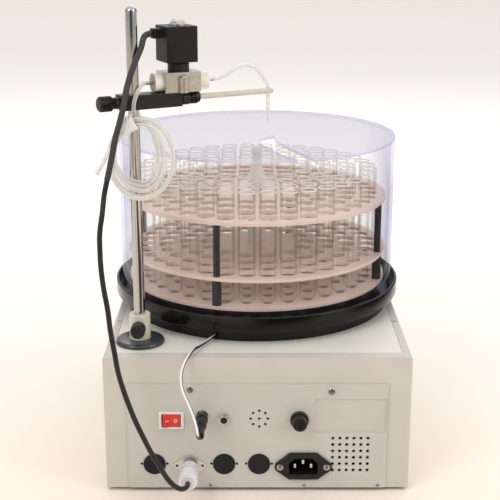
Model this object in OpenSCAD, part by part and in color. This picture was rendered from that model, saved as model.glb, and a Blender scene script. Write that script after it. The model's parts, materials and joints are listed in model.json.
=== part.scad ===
// Benchtop fraction collector with a round tube carousel under a clear guard,
// a swinging drip arm on a column and a shut-off valve on the arm.
// Millimetres, +Z up. The origin is on the bench, under the middle of the cabinet.
// -Y is the connector side, +X is to the right when that side is looked at.

/* [Cabinet] */
// Width of the sheet steel cabinet
cab_w = 260; // [250:5:300]
// Depth of the cabinet
cab_d = 326; // [310:2:360]
// Height of the cabinet without its feet
cab_h = 120; // [118:2:150]
// Thickness of the sheet steel
sheet = 1.5; // [1:0.5:2]
// Height of the rubber feet
foot_h = 3; // [2:1:8]
// Diameter of the rubber feet
foot_d = 18; // [14:2:24]
// Border between the top plate and the sides of the cabinet
top_border = 7; // [6:1:9]
// Border between the top plate and the connector side
top_border_rear = 12; // [10:1:14]

/* [Connector panel] */
// Width of the connector panel
panel_w = 221; // [218:1:232]
// Height of the connector panel
panel_h = 96; // [92:1:104]
// Thickness of the connector panel and of the front panel
panel_t = 1.5; // [1.2:0.1:2]
// Pitch of the vent holes
vent_pitch = 6; // [5:0.5:6.5]
// Diameter of the vent holes
vent_d = 2.9; // [2:0.1:4]

/* [Carousel] */
// Radius of the outer ring of tubes
ring_r = 105.3; // [100:0.5:108]
// Distance between two rings of tubes
ring_step = 19.5; // [18:0.5:20]
// Outer diameter of a tube
tube_d = 15; // [12:0.5:15.5]
// Length of a tube
tube_len = 101; // [90:1:105]
// Wall of a tube
tube_wall = 1.1; // [0.8:0.1:1.5]
// Thickness of the carousel discs
disc_t = 3.2; // [2.5:0.1:5]
// Space between the bottom disc and the middle disc
lower_gap = 22.7; // [18:0.1:26]
// Space between the middle disc and the top disc
upper_gap = 47; // [40:1:50]

/* [Tray and guard] */
// Wall of the round tray
tray_wall = 2.5; // [2:0.5:4]
// Height of the tray above its foot ring
tray_h = 14; // [12:1:18]
// Height of the foot ring under the tray
tray_ring_h = 11; // [9:1:14]
// Thickness of the clear guard
guard_t = 3; // [2.5:0.5:4]
// Height of the guard wall
guard_h = 144.5; // [140:0.5:160]
// Width of the arc slot in the lid
slot_w = 18; // [12:1:22]

/* [Column and arm] */
// Diameter of the column
col_d = 9.5; // [8:0.5:11]
// Height of the column top above the cabinet
col_h = 286; // [280:1:320]
// Height of the arm above the cabinet
arm_h = 209; // [205:1:215]
// Heading of the arm at rest, turned from +X towards +Y
arm_turn = 30; // [20:1:35]
// Distance from the column to the drip point
drip_r = 128; // [126:1:134]
// Diameter of the rod that carries the drip tube
rod_d = 5; // [4:0.5:6]
// Outer diameter of the silicone tube
hose_d = 3.2; // [2.5:0.1:3.4]
// Outer diameter of the cord that feeds the valve
cord_d = 4.3; // [3:0.1:5]
// Outer diameter of the sleeve on the upper part of that cord
sleeve_d = 5; // [4:0.1:5.5]
// Outer diameter of the sensor lead
lead_d = 2.5; // [2:0.1:3]

/* [Hidden] */
$fn = 64;

// Clearances
run_fit = 0.06;       // running fit on the radius
slip = 0.3;           // loose fit on the radius
seat = 0.1;           // gap between parts that lie on each other with curved faces

// Levels
top_z = foot_h + cab_h;
tray_z = top_z + tray_ring_h;
tray_floor = tray_z + tray_wall;
base_z = tray_floor + 12.5;
mid_z = base_z + disc_t + lower_gap;
upper_z = mid_z + disc_t + upper_gap;
disc_top = upper_z + disc_t;
lid_z = tray_floor + guard_h;
arm_z = top_z + arm_h;
col_top = top_z + col_h;

// Radii
hole_d = tube_d + 0.6;
disc_r = ring_r + hole_d / 2 + 8.4;
guard_r = disc_r + 4 + guard_t;
tray_r = guard_r + 3.1 + tray_wall + 0.5;
tray_ring_r = tray_r - 9.6;
ring_counts = [36, 28, 22, 14];
seat_hole_r = tube_d * 0.3;
seat_sink = tube_d / 2 - sqrt(pow(tube_d / 2, 2) - pow(seat_hole_r, 2)) - seat;

pan_h = 10;

// Places on the cabinet
rear_y = -cab_d / 2;
rear_face = rear_y - panel_t;
front_y = cab_d / 2;
col_x = -(cab_w / 2 - 28.5);
col_y = rear_y + 38;
top_screw_y = 73.6;
plate_w = cab_w - 2 * top_border;
plate_d = cab_d - 2 * top_border_rear;

// Connector panel places, x and z on the face
rocker_at = [-73.2, foot_h + 64.2];
jack_at = [[-47, foot_h + 68], [-28.5, foot_h + 65.2]];
buzzer_at = [1.5, foot_h + 65.2];
fuse_at = [35.6, foot_h + 64.3];
inlet_at = [39.4, foot_h + 21.5];
cord_at = [-58, foot_h + 21.9];
blank_at = [[-88.3, foot_h + 23], [-28.6, foot_h + 23], [1.4, foot_h + 23]];
label_at = [79.2, foot_h + 67.8];
label_size = [61, 30.8];
vent_at = [79.4, foot_h + 32];
vent_count = 6;
rear_screws = [[-57, foot_h + 92.3, 1.12], [62.6, foot_h + 90.5, 1.12],
    [-40.2, foot_h + 3, 0.7], [40.4, foot_h + 3, 0.7], [panel_w / 2 - 6.6, foot_h + 3, 0.7]];
front_panel_z = foot_h + 10;
front_panel_h = 102;
front_screw_x = panel_w / 2 - 8.5;
front_screws = [for (z = [front_panel_z + 8, front_panel_z + front_panel_h - 8]) for (x = [-1, 1])
    [x * front_screw_x, z]];
screw_shank_r = 1.4;
screw_head_r = 2.7;

// Rocker switch
bezel = [21, 15.2, 2];
rocker_box = [18.6, 13.4, 15];
rocker_well = [16.4, 12];
rocker_tilt = 7;
rocker_size = [14.8, 11.5];
rocker_pin_r = 1.1;

// Fuse holder
fuse_flange_r = 7.9;
fuse_body_r = 6.2;
fuse_shank_r = 4.4;
fuse_flange_t = 3.2;
fuse_cap_l = 8;

// Mains inlet
inlet_flat = 23.4;
inlet_high = 24.4;
inlet_ear = 20;
inlet_ear_r = 4.6;
inlet_well = [24.5, 15];
inlet_depth = 20;

// Cord socket and plug
socket_ear = 11;
socket_r = 7;
plug_r = 7.9;
plug_l = 33;
jack_plug_l = 40;
blank_r = 9.55;
blank_ring_r = blank_r - 1.2;
panel_lap = 7;
rear_gap_x = max(panel_w / 2 - panel_lap, blank_ring_r + slip - blank_at[0][0]);
blank_ear = 11;

// Drive
gear_z = top_z - 56;
gear_t = 8;
spindle_r = 6;
spindle_m = 1.5;
spindle_n = 48;
pinion_n = 16;
swing_m = 1.25;
swing_n = 36;
backlash = 0.25;
motor_s = 40;
motor_l = 38;
motor_shaft_r = 2.5;
drive_at = polar(spindle_m * (spindle_n + pinion_n) / 2, 60);
swing_at = [col_x, col_y] + polar(swing_m * (swing_n + pinion_n) / 2, 20);

// Column foot
flange_r = 21;
flange_t = 4;
flange_tube_r = 9;
boss_r = 9.05;
boss_top = top_z + 26;
boss_z = top_z + flange_t + 0.2;
bore_z = boss_z + 3;
thumb_z = top_z + 17;
thumb_l = 24;
thumb_r = 6;

// Arm, along its own axis from the column
bar_h = 12.2;
bar_w = 15;
bar_back = 12.6;
bar_front = 41.6;
collar_r = 5.9;
collar_l = 9;
thread_r = 4.2;
thread_l = 6;
nut_r = 5.4;
nut_l = 8.8;
rod_in = 20;
rod_out = drip_r + 4.5;
knob_r = 6;
knob_l = 12;
knob_neck = 7.2;
clamp_r = 2;

// Valve, from the top of the arm
valve_x = 41.4;
valve_turn = -5;
valve_size = [32, 22, 16.5];
port_z = 7.9;
stem_r = 9;
core_r = 4.6;
plunger_r = 4;
coil_size = 27;
coil_z = 24.5;
coil_tall = 29.2;
coil_side_x = -1.2;
white_r = 7.8;
white_l = 7;
white_out_r = 6.6;
white_out_l = 9.5;
barb_r = 1.5;
barb_l = 5.5;
plunger_bore_top = 40;

// Routes of the cords and tubes, round points chosen along the real runs
sleeve_route = [[-86.9, -112.4, 385.8], [-89, -113.6, 385.6], [-91.4, -116.6, 384.4], [-92.8, -121, 381.6],
    [-94, -128, 375.6], [-98, -134.4, 366], [-102, -140, 355], [-105, -145, 344],
    [-107, -150, 332], [-110, -153, 320], [-114, -156, 306], [-117, -158, 291], [-121, -159, 274]];
cord_route = [[-121.1, -159, 273.6], [-123.6, -160, 262], [-125, -166, 248], [-127, -170, 233],
    [-127, -173, 218], [-126, -177, 203], [-124, -180, 188], [-121, -184, 172],
    [-119, -188, 156], [-116, -192, 140], [-113, -196, 124], [-109, -199, 110],
    [-104, -203, 97], [-99, -206, 85], [-93, -208, 72], [-87, -210, 60],
    [-80, -212, 48], [-73, -214, 37], [-67, -213, 30], [-62, -209.5, 26.2],
    [-58.8, -204, 25], [-58, rear_face - plug_l - 0.4, 24.9]];
lead_route = [[-36.4, -tray_ring_r + 4.4, 127], [-40, -127, 127], [-45, -135, 126], [-50, -145, 126],
    [-54, -155, 127], [-58, -166, 125], [-61, -172, 121], [-63, -177, 115],
    [-63, -182, 109], [-61, -187, 102], [-57, -194, 96], [-53, -202, 90],
    [-50, -209, 84], [-48, -213, 77], [-47, -210.5, 72], [-47, rear_face - jack_plug_l - 0.4, 71]];
feed_route = [[-91.8, -116.5, 346], [-93.6, -117.6, 346.2], [-94.6, -119.8, 346.4], [-94.4, -123, 346.2],
    [-94.4, -127, 345.4], [-95.8, -131.2, 343], [-98, -134.4, 339], [-99.6, -136, 334.5],
    [-100.4, -136, 329.5], [-100.6, -134.4, 325.5], [-100.5, -132.5, 321.8], [-100.5, -132.2, 318.6]];
drip_route = [[-37.3, -91, 346], [-33.4, -89.2, 346.4], [-28, -86.2, 348.2], [-22, -81.8, 351.6],
    [-15.5, -76.6, 354.6], [-10, -72.2, 355.4], [-4, -67.6, 353.6], [1, -64.2, 349],
    [5, -62.3, 343.6], [8, -61.2, 338.6]];
cord_sides = 10;
hose_sides = 8;

// Coil of silicone tube that hangs in front of the column
coil_at = [-95, -140, 288];
coil_left = 26;
coil_right = 26;
coil_up = 32.5;
coil_down = 32.5;
coil_first_right = 10;
coil_first_down = 20;
coil_layer = 4;
coil_pitch = 3.8;
coil_turns = 6.15;
coil_inner = 3;
coil_climb = 0.25;
coil_start = 116;
coil_steps = 24;
coil_sides = 6;
tie_l = 12;
tie_t = 0.9;

// ---------- functions ----------

function polar(r, a) = [r * cos(a), r * sin(a)];
function unit(v) = v / norm(v);
function clamp01(t) = min(1, max(0, t));
function mix(a, b, t) = a + (b - a) * t;

// Point s along the arm and h above its axis
function on_arm(s, h) = [col_x + s * cos(arm_turn), col_y + s * sin(arm_turn), arm_z + h];

// Tangents of a route
function tangents(p) = [for (i = [0:len(p) - 1])
    unit(p[min(i + 1, len(p) - 1)] - p[max(i - 1, 0)])];

// One side vector for each point, carried along without twisting
function sides(t, first) = [for (i = 0, u = unit(first - (first * t[0]) * t[0]); i < len(t);
    i = i + 1, u = i < len(t) ? unit(u - (u * t[i]) * t[i]) : u) u];

// Closest distance from a point to a straight piece of the tube
function piece_gap(p, a, b) = norm(p - mix(a, b, clamp01(((p - a) * (b - a)) / ((b - a) * (b - a)))));

// Coil, t in turns from its start: first the inner layer, then the outer one
function coil_out(t) = clamp01((t - coil_inner) / coil_climb);
function coil_deep(t) = t < coil_inner ? t : coil_inner + coil_climb / 2
    - abs(t - coil_inner - coil_climb / 2);
function coil_y(t) = coil_at[1] + coil_pitch * (1.5 - coil_side(t));
function coil_side(t) = t < coil_inner + coil_climb ? min(t, coil_inner + coil_climb / 2)
    : coil_inner + coil_climb / 2 - (t - coil_inner - coil_climb);
function coil_grow(t) = clamp01(t / (coil_inner + coil_climb));
function coil_rx(t, a) = cos(a) > 0
    ? mix(mix(coil_first_right, coil_right - coil_layer, coil_grow(t)), coil_right, coil_out(t))
    : coil_left - coil_layer * (1 - coil_out(t));
function coil_rz(t, a) = sin(a) < 0
    ? mix(mix(coil_first_down, coil_down - coil_layer, coil_grow(t)), coil_down, coil_out(t))
    : coil_up - coil_layer * (1 - coil_out(t));
function coil_point(t) = let (a = coil_start + 360 * t)
    [coil_at[0] + coil_rx(t, a) * cos(a), coil_y(t), coil_at[2] + coil_rz(t, a) * sin(a)];
coil_path = [for (i = [0:floor(coil_turns * coil_steps)]) coil_point(i / coil_steps)];
coil_in = unit(coil_path[1] - coil_path[0]);
feed_path = concat(feed_route, [coil_path[0] - 3 * coil_in, coil_path[0] - slip * coil_in]);
coil_end = coil_path[len(coil_path) - 1];
coil_dir = unit(coil_end - coil_path[len(coil_path) - 2]);
tail_l = 27;
tail_path = [coil_end + coil_dir * tail_l / 3 + [-0.5, 0, 0],
    coil_end + coil_dir * tail_l * 2 / 3 + [-1.5, 0, 0],
    coil_end + coil_dir * tail_l + [-3, 0, 0]];
coil_gap = min([for (i = [0:len(coil_path) - 1])
    for (j = [i + 12:1:len(coil_path) - 2]) piece_gap(coil_path[i], coil_path[j], coil_path[j + 1])])
    - hose_d;
echo(coil_gap_mm = coil_gap);

// Involute gear outline
function involute(rb, a) = rb * [cos(a) + a * PI / 180 * sin(a), sin(a) - a * PI / 180 * cos(a)];
function turn2(p, a) = [p[0] * cos(a) - p[1] * sin(a), p[0] * sin(a) + p[1] * cos(a)];
function roll_angle(rb, r) = sqrt(max(0, pow(r / rb, 2) - 1)) * 180 / PI;
function gear_tooth(m, n, steps) = let (
    rp = m * n / 2, rb = rp * cos(20), ra = rp + 0.9 * m, rf = rp - 1.2 * m,
    a0 = roll_angle(rb, max(rb, rf)), a1 = roll_angle(rb, ra), ap = roll_angle(rb, rp),
    pitch_pt = involute(rb, ap), half = (90 - backlash * 180 / PI / m) / n,
    shift = atan2(pitch_pt[1], pitch_pt[0]) + half,
    flank = [for (i = [0:steps]) turn2(involute(rb, mix(a0, a1, i / steps)), -shift)],
    root = rf * unit(flank[0]))
    concat([root], flank, [for (i = [steps:-1:0]) [flank[i][0], -flank[i][1]]], [[root[0], -root[1]]]);

// ---------- shared shapes ----------

// Rectangle with round corners
module soft_rect(w, h, r) {
    square([w - 2 * r, h], center = true);
    square([w, h - 2 * r], center = true);
    for (x = [-1, 1])
        for (y = [-1, 1])
            translate([x * (w / 2 - r), y * (h / 2 - r)])
                circle(r);
}

// Places its children on the connector panel, outwards is their +Z
module on_rear(at) {
    translate([at[0], rear_face, at[1]])
        rotate([90, 0, 0])
            children();
}

// Places its children on the front panel, outwards is their +Z
module on_front(at) {
    translate([at[0], front_y + panel_t, at[1]])
        rotate([-90, 0, 0])
            children();
}

// Places its children on the arm, +X along it
module on_bar() {
    translate([col_x, col_y, arm_z])
        rotate([0, 0, arm_turn])
            children();
}

// Places its children on the valve's foot
module on_valve() {
    on_bar()
        translate([valve_x, 0, bar_h / 2])
            rotate([0, 0, valve_turn])
                children();
}

module ring(r_out, r_in, h) {
    difference() {
        cylinder(r = r_out, h = h);
        translate([0, 0, -1])
            cylinder(r = r_in, h = h + 2);
    }
}

// Tube swept along a route
module hose(path, d, n) {
    t = tangents(path);
    u = sides(t, [0.3, -1, 0.2]);
    points = [for (i = [0:len(path) - 1])
        for (k = [0:n - 1])
            path[i] + d / 2 * (cos(360 * k / n) * u[i] + sin(360 * k / n) * cross(t[i], u[i]))];
    walls = [for (i = [0:len(path) - 2])
        for (k = [0:n - 1])
            for (f = [[i * n + k, i * n + (k + 1) % n, (i + 1) * n + k],
                [i * n + (k + 1) % n, (i + 1) * n + (k + 1) % n, (i + 1) * n + k]]) f];
    last = (len(path) - 1) * n;
    start_cap = [for (k = [1:n - 2]) [0, k + 1, k]];
    end_cap = [for (k = [1:n - 2]) [last, last + k, last + k + 1]];
    polyhedron(points = points, faces = [for (f = concat(walls, start_cap, end_cap)) [f[0], f[2], f[1]]]);
}

module gear(m, n, h, bore) {
    difference() {
        linear_extrude(h)
            union() {
                circle(m * n / 2 - 1.15 * m);
                for (i = [0:n - 1])
                    rotate(360 * i / n)
                        polygon(concat([[0, 0]], gear_tooth(m, n, 4)));
            }
        translate([0, 0, -1])
            cylinder(r = bore, h = h + 2);
    }
}

module dome_screw(l) {
    intersection() {
        translate([0, 0, -screw_head_r * 0.9])
            sphere(screw_head_r * 1.38);
        cylinder(r = screw_head_r, h = 2);
    }
    translate([0, 0, -l])
        cylinder(r = screw_shank_r, h = l + 0.2);
}

// Countersunk screw with a slightly raised head
module inlet_screw() {
    translate([0, 0, -7])
        cylinder(r = screw_shank_r, h = 8.4);
    translate([0, 0, 1.3])
        cylinder(r1 = screw_shank_r, r2 = 2.9, h = 1.5);
    translate([0, 0, 2.8])
        cylinder(r1 = 2.9, r2 = 1.8, h = 0.5);
}

// ---------- cabinet ----------

module base_pan() {
    w = cab_w - 2 * sheet - 0.6;
    d = cab_d - 2 * sheet - 0.6;
    color("gainsboro")
        difference() {
            translate([0, 0, foot_h])
                linear_extrude(pan_h)
                    square([w, d], center = true);
            translate([0, 0, foot_h + sheet])
                linear_extrude(pan_h)
                    square([w - 2 * sheet, d - 2 * sheet], center = true);
            for (s = foot_places())
                translate([s[0], s[1], foot_h - 1])
                    cylinder(r = 2.2, h = 4);
            for (s = rear_screws)
                on_rear(s)
                    translate([0, 0, -9])
                        cylinder(r = screw_shank_r * s[2] + 0.15, h = 12);
        }
}

function foot_places() = [for (x = [-1, 1]) for (y = [-1, 1])
    [x * (cab_w / 2 - 22), y * (cab_d / 2 - 24)]];

module shell_outline() {
    intersection() {
        translate([0, foot_h + cab_h / 2])
            soft_rect(cab_w, cab_h, 2);
        translate([0, foot_h + cab_h])
            square([cab_w, 2 * cab_h], center = true);
    }
    translate([-cab_w / 2, foot_h])
        square([cab_w, 6]);
}

module cabinet_shell() {
    ledge = 7;
    color("wheat")
        difference() {
            translate([0, cab_d / 2, 0])
                rotate([90, 0, 0])
                    linear_extrude(cab_d)
                        shell_outline();
            translate([0, 0, foot_h - 1])
                linear_extrude(cab_h + 1 - 2 * sheet)
                    square([cab_w - 2 * sheet, cab_d - 2 * sheet], center = true);
            translate([0, 0, top_z - sheet])
                linear_extrude(sheet + 1)
                    square([plate_w, plate_d], center = true);
            translate([0, 0, top_z - 3 * sheet])
                linear_extrude(4 * sheet)
                    square([plate_w - 2 * ledge, plate_d - 2 * ledge], center = true);
            translate([-rear_gap_x, rear_y - 1, foot_h - 1])
                cube([2 * rear_gap_x, sheet + 2, panel_h - 6]);
            translate([-(panel_w / 2 - 12), front_y - sheet - 1, front_panel_z + 12])
                cube([panel_w - 24, sheet + 2, front_panel_h - 24]);
            for (s = rear_screws)
                on_rear(s)
                    translate([0, 0, -9])
                        cylinder(r = screw_shank_r * s[2] + 0.15, h = 12);
            for (s = front_screws)
                on_front(s)
                    translate([0, 0, -6])
                        cylinder(r = screw_shank_r + 0.2, h = 10);
            for (x = [-1, 1])
                for (y = [-1, 1])
                    translate([x * (cab_w / 2 - 4), y * top_screw_y, top_z - 4])
                        cylinder(r = screw_shank_r - 0.4, h = 6);
        }
}

module top_plate() {
    color("linen")
        difference() {
            translate([0, 0, top_z - sheet])
                linear_extrude(sheet)
                    square([plate_w - 0.4, plate_d - 0.4], center = true);
            translate([0, 0, top_z - 2 * sheet])
                cylinder(r = 13 + slip, h = 3 * sheet);
            translate([col_x, col_y, top_z - 2 * sheet])
                cylinder(r = flange_tube_r + slip, h = 3 * sheet);
        }
}

module rear_panel() {
    color("silver")
        difference() {
            translate([-panel_w / 2, rear_face, foot_h + 0.5])
                cube([panel_w, panel_t, panel_h]);
            on_rear(rocker_at)
                translate([0, 0, -5])
                    linear_extrude(6)
                        square([rocker_box[0] + 0.3, rocker_box[1] + 0.3], center = true);
            for (p = jack_at)
                on_rear(p)
                    translate([0, 0, -5])
                        cylinder(r = 4.1, h = 6);
            on_rear(buzzer_at)
                for (i = [0:8])
                    rotate(45 * i)
                        translate([i == 8 ? 0 : 7.3, 0, -5])
                            cylinder(r = 1.25, h = 6);
            on_rear(fuse_at)
                translate([0, 0, -5])
                    cylinder(r = fuse_body_r + 0.1, h = 6);
            on_rear(inlet_at) {
                translate([0, 0, -5])
                    linear_extrude(6)
                        square([27.9, 19.9], center = true);
                for (x = [-1, 1])
                    translate([x * inlet_ear, -0.6, -5])
                        cylinder(r = 1.7, h = 6);
            }
            on_rear(cord_at) {
                translate([0, 0, -5])
                    cylinder(r = socket_r + 0.1, h = 6);
                for (x = [-1, 1])
                    translate([x * socket_ear, 0, -5])
                        cylinder(r = 1.2, h = 6);
            }
            for (p = blank_at)
                on_rear(p) {
                    translate([0, 0, -5])
                        cylinder(r = blank_r - 1.1, h = 6);
                    for (x = [-1, 1])
                        translate([x * blank_ear, 0, -5])
                            cylinder(r = 1.25, h = 6);
                }
            on_rear(label_at)
                translate([0, 0, -0.7])
                    linear_extrude(2)
                        square(label_size, center = true);
            on_rear(vent_at)
                for (i = [0:vent_count - 1])
                    for (j = [0:vent_count - 1])
                        translate([(i - (vent_count - 1) / 2) * vent_pitch,
                            (j - (vent_count - 1) / 2) * vent_pitch, -5])
                            cylinder(r = vent_d / 2, h = 6);
            for (s = rear_screws)
                on_rear(s)
                    translate([0, 0, -5])
                        cylinder(r = screw_shank_r * s[2] + 0.15, h = 6);
        }
}

module front_panel() {
    color("linen")
        difference() {
            translate([-panel_w / 2, front_y, front_panel_z])
                cube([panel_w, panel_t, front_panel_h]);
            on_front([-45, foot_h + 76])
                translate([0, 0, -5])
                    linear_extrude(6)
                        square([62, 18], center = true);
            for (s = front_screws)
                on_front(s)
                    translate([0, 0, -5])
                        cylinder(r = screw_shank_r + 0.2, h = 6);
        }
}

module keypad() {
    key = [15, 10];
    color("slategray")
        on_front([0, foot_h + 61]) {
            linear_extrude(0.7)
                soft_rect(168, 66, 4);
            for (i = [0:3])
                for (j = [0:2])
                    translate([12 + i * 19, (j - 1) * 17, 0.7])
                        linear_extrude(0.8)
                            soft_rect(key[0], key[1], 2);
            translate([-45, 15, 0.7])
                linear_extrude(0.5)
                    soft_rect(58, 16, 1.5);
        }
}

module feet() {
    color("dimgray")
        for (s = foot_places())
            translate([s[0], s[1], 0]) {
                cylinder(r = foot_d / 2, h = foot_h);
                cylinder(r = 2, h = foot_h + sheet + 1);
                translate([0, 0, foot_h + sheet])
                    cylinder(r = 3.4, h = 1.4);
            }
}

module case_screws() {
    color("dimgray") {
        for (s = rear_screws)
            on_rear(s)
                scale(s[2])
                    dome_screw(6);
        for (x = [-1, 1])
            on_rear([inlet_at[0] + x * inlet_ear, inlet_at[1] - 0.6])
                inlet_screw();
        for (s = front_screws)
            on_front(s)
                dome_screw(4.5);
        for (x = [-1, 1])
            for (y = [-1, 1])
                translate([x * (cab_w / 2 - 4), y * top_screw_y, top_z])
                    scale(0.62)
                        dome_screw(3.5);
    }
}

// ---------- connectors ----------

module rocker_bezel() {
    color("white")
        on_rear(rocker_at)
            difference() {
                union() {
                    linear_extrude(bezel[2])
                        soft_rect(bezel[0], bezel[1], 0.8);
                    translate([0, 0, -rocker_box[2]])
                        linear_extrude(rocker_box[2] + 0.5)
                            square([rocker_box[0], rocker_box[1]], center = true);
                }
                translate([0, 0, 1.2 - rocker_box[2]])
                    linear_extrude(rocker_box[2] + 2)
                        square(rocker_well, center = true);
                translate([0, 0, 0])
                    rotate([90, 0, 0])
                        cylinder(r = rocker_pin_r + run_fit, h = rocker_box[1] - 0.8, center = true);
            }
}

module rocker() {
    color("red")
        on_rear(rocker_at)
            rotate([0, rocker_tilt, 0]) {
                rotate([90, 0, 0])
                    linear_extrude(rocker_size[1], center = true)
                        polygon([[-7.4, -1.2], [-3.2, -5.4], [3.2, -5.4], [7.4, -1.2],
                            [7.4, 3.2], [5, 2.8], [0, 1.9], [-5, 2.8], [-7.4, 3.2]]);
                rotate([90, 0, 0])
                    cylinder(r = rocker_pin_r, h = rocker_box[1] - 1, center = true);
            }
}

module fuse_holder() {
    color("dimgray")
        on_rear(fuse_at)
            difference() {
                union() {
                    cylinder(r = fuse_flange_r, h = fuse_flange_t - 1);
                    translate([0, 0, fuse_flange_t - 1])
                        cylinder(r1 = fuse_flange_r, r2 = fuse_flange_r - 0.9, h = 1);
                    translate([0, 0, -24])
                        cylinder(r = fuse_body_r, h = 25);
                }
                translate([0, 0, -22])
                    cylinder(r = fuse_shank_r + run_fit, h = 30);
            }
}

module fuse_cap() {
    color("dimgray")
        on_rear(fuse_at)
            difference() {
                union() {
                    translate([0, 0, -12])
                        cylinder(r = fuse_shank_r, h = 16);
                    translate([0, 0, fuse_flange_t + 0.1])
                        cylinder(r1 = 6.4, r2 = 5.9, h = fuse_cap_l);
                }
                translate([-0.6, -4, fuse_flange_t + fuse_cap_l - 1.2])
                    cube([1.2, 8, 2]);
                translate([0, 0, -13])
                    cylinder(r = 2.7, h = 12);
            }
}

module inlet_outline() {
    flat = inlet_flat / 2;
    high = inlet_high / 2;
    ear = inlet_ear;
    r = inlet_ear_r;
    polygon([[-flat, high], [flat, high], [ear + r * 0.65, r * 0.76 - 0.6], [ear + r * 0.65, -r * 0.76 - 0.6],
        [flat + 0.6, -high], [-flat - 0.6, -high], [-ear - r * 0.65, -r * 0.76 - 0.6],
        [-ear - r * 0.65, r * 0.76 - 0.6]]);
    for (x = [-1, 1])
        translate([x * ear, -0.6])
            circle(r);
}

module inlet_well_outline() {
    w = inlet_well[0] / 2;
    h = inlet_well[1] / 2;
    polygon([[-w, -h], [w, -h], [w, h - 4.5], [w - 5, h], [5 - w, h], [-w, h - 4.5]]);
}

module mains_inlet() {
    color("dimgray")
        on_rear(inlet_at)
            difference() {
                union() {
                    linear_extrude(2.6)
                        inlet_outline();
                    translate([0, 0, -inlet_depth])
                        linear_extrude(inlet_depth + 1)
                            square([27.5, 19.5], center = true);
                }
                translate([0, 0, 1.6 - inlet_depth])
                    linear_extrude(inlet_depth + 2)
                        inlet_well_outline();
                for (x = [-1, 1])
                    translate([x * inlet_ear, -0.6, -1]) {
                        cylinder(r = 1.6, h = 5);
                        translate([0, 0, 2.1])
                            cylinder(r1 = 1.6, r2 = 3.2, h = 1.6);
                    }
            }
}

module inlet_pins() {
    pin_z = 1.6 - inlet_depth;
    color("silver")
        on_rear(inlet_at)
            for (p = [[-7, -2.2], [0, 1.6], [7, -2.2]])
                translate([p[0], p[1], pin_z + 7.5])
                    cube([2, 4, 15], center = true);
}

module buzzer() {
    color("dimgray")
        on_rear(buzzer_at)
            translate([0, 0, -panel_t - 8])
                cylinder(r = 11, h = 8);
}

module jack_sockets() {
    color("silver")
        for (p = jack_at)
            on_rear(p)
                difference() {
                    union() {
                        cylinder(r = 5.6, h = 1.6);
                        translate([0, 0, -11])
                            cylinder(r = 4, h = 15);
                    }
                    translate([0, 0, -8])
                        cylinder(r = 2.9, h = 20);
                }
}

module cord_socket() {
    color("silver")
        on_rear(cord_at)
            difference() {
                union() {
                    linear_extrude(1.4) {
                        polygon([[0, 9.9], [-3, 9], [-13, 2.2], [-13, -2.2], [-3, -9], [0, -9.9], [3, -9],
                            [13, -2.2], [13, 2.2], [3, 9]]);
                        for (x = [-1, 1])
                            translate([x * socket_ear, 0])
                                circle(2.9);
                    }
                    translate([0, 0, -12])
                        cylinder(r = socket_r, h = 17);
                }
                translate([0, 0, -9])
                    cylinder(r = 5.2, h = 20);
                for (x = [-1, 1])
                    translate([x * socket_ear, 0, -1])
                        cylinder(r = 1.2, h = 4);
            }
}

module blank_covers() {
    color("dimgray")
        for (p = blank_at)
            on_rear(p) {
                cylinder(r = blank_r, h = 0.9);
                translate([0, 0, -3])
                    ring(blank_ring_r, blank_r - 2.4, 3.2);
            }
}

// ---------- inside the cabinet ----------

module transformer() {
    color("peru")
        translate([cab_w / 2 - 55, -cab_d / 2 + 68, foot_h + sheet]) {
            translate([-33, -24, 0])
                cube([66, 48, 2]);
            translate([-28, -13, 2])
                cube([56, 26, 46]);
            translate([-18, -22, 9])
                cube([36, 44, 32]);
        }
}

module main_board() {
    board_z = foot_h + sheet + 8;
    color("seagreen")
        translate([60 - cab_w / 2, cab_d / 2 - 128, 0]) {
            translate([0, 0, board_z])
                cube([120, 90, 1.6]);
            for (x = [6, 114])
                for (y = [6, 84])
                    translate([x, y, foot_h + sheet])
                        cylinder(r = 3, h = 8.1);
            for (x = [20, 40, 100])
                translate([x, 65, board_z + 1.5])
                    cylinder(r = 6, h = 16);
            translate([30, 20, board_z + 1.5])
                cube([34, 14, 4]);
            translate([84, 25, board_z + 1.5])
                cube([20, 16, 14]);
        }
}

module gear_motors() {
    color("gray")
        for (p = [drive_at, swing_at])
            translate([p[0], p[1], top_z - sheet]) {
                translate([0, 0, -motor_l / 2])
                    cube([motor_s, motor_s, motor_l], center = true);
                translate([0, 0, -motor_l - 2])
                    cylinder(r = 11, h = 2.1);
                translate([0, 0, gear_z - 4 - top_z + sheet])
                    cylinder(r = motor_shaft_r, h = top_z - gear_z - motor_l + 3);
            }
}

module motor_pinion() {
    color("khaki")
        translate([drive_at[0], drive_at[1], gear_z])
            rotate(60 + 180 / pinion_n)
                gear(spindle_m, pinion_n, gear_t + 2, motor_shaft_r + run_fit);
}

module spindle_gear() {
    color("ivory")
        translate([0, 0, gear_z + 1])
            rotate(60) {
                gear(spindle_m, spindle_n, gear_t - 1, spindle_r + 0.02);
                translate([0, 0, gear_t - 1])
                    ring(11, spindle_r + 0.02, 4);
            }
}

module spindle() {
    color("silver") {
        translate([0, 0, gear_z - 4])
            cylinder(r = spindle_r, h = base_z - gear_z + 7);
        translate([0, 0, tray_floor + 3.2])
            cylinder(r = 9, h = base_z - 6 - tray_floor - 3.2);
    }
}

module spindle_bearing() {
    color("goldenrod") {
        translate([0, 0, gear_z + 16])
            ring(13, spindle_r + run_fit, tray_floor + 3 - gear_z - 16);
        translate([0, 0, top_z])
            ring(22, 12.5, 3);
    }
}

module swing_pinion() {
    color("khaki")
        translate([swing_at[0], swing_at[1], gear_z])
            rotate(20 + 180 / pinion_n)
                gear(swing_m, pinion_n, gear_t + 2, motor_shaft_r + run_fit);
}

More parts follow.
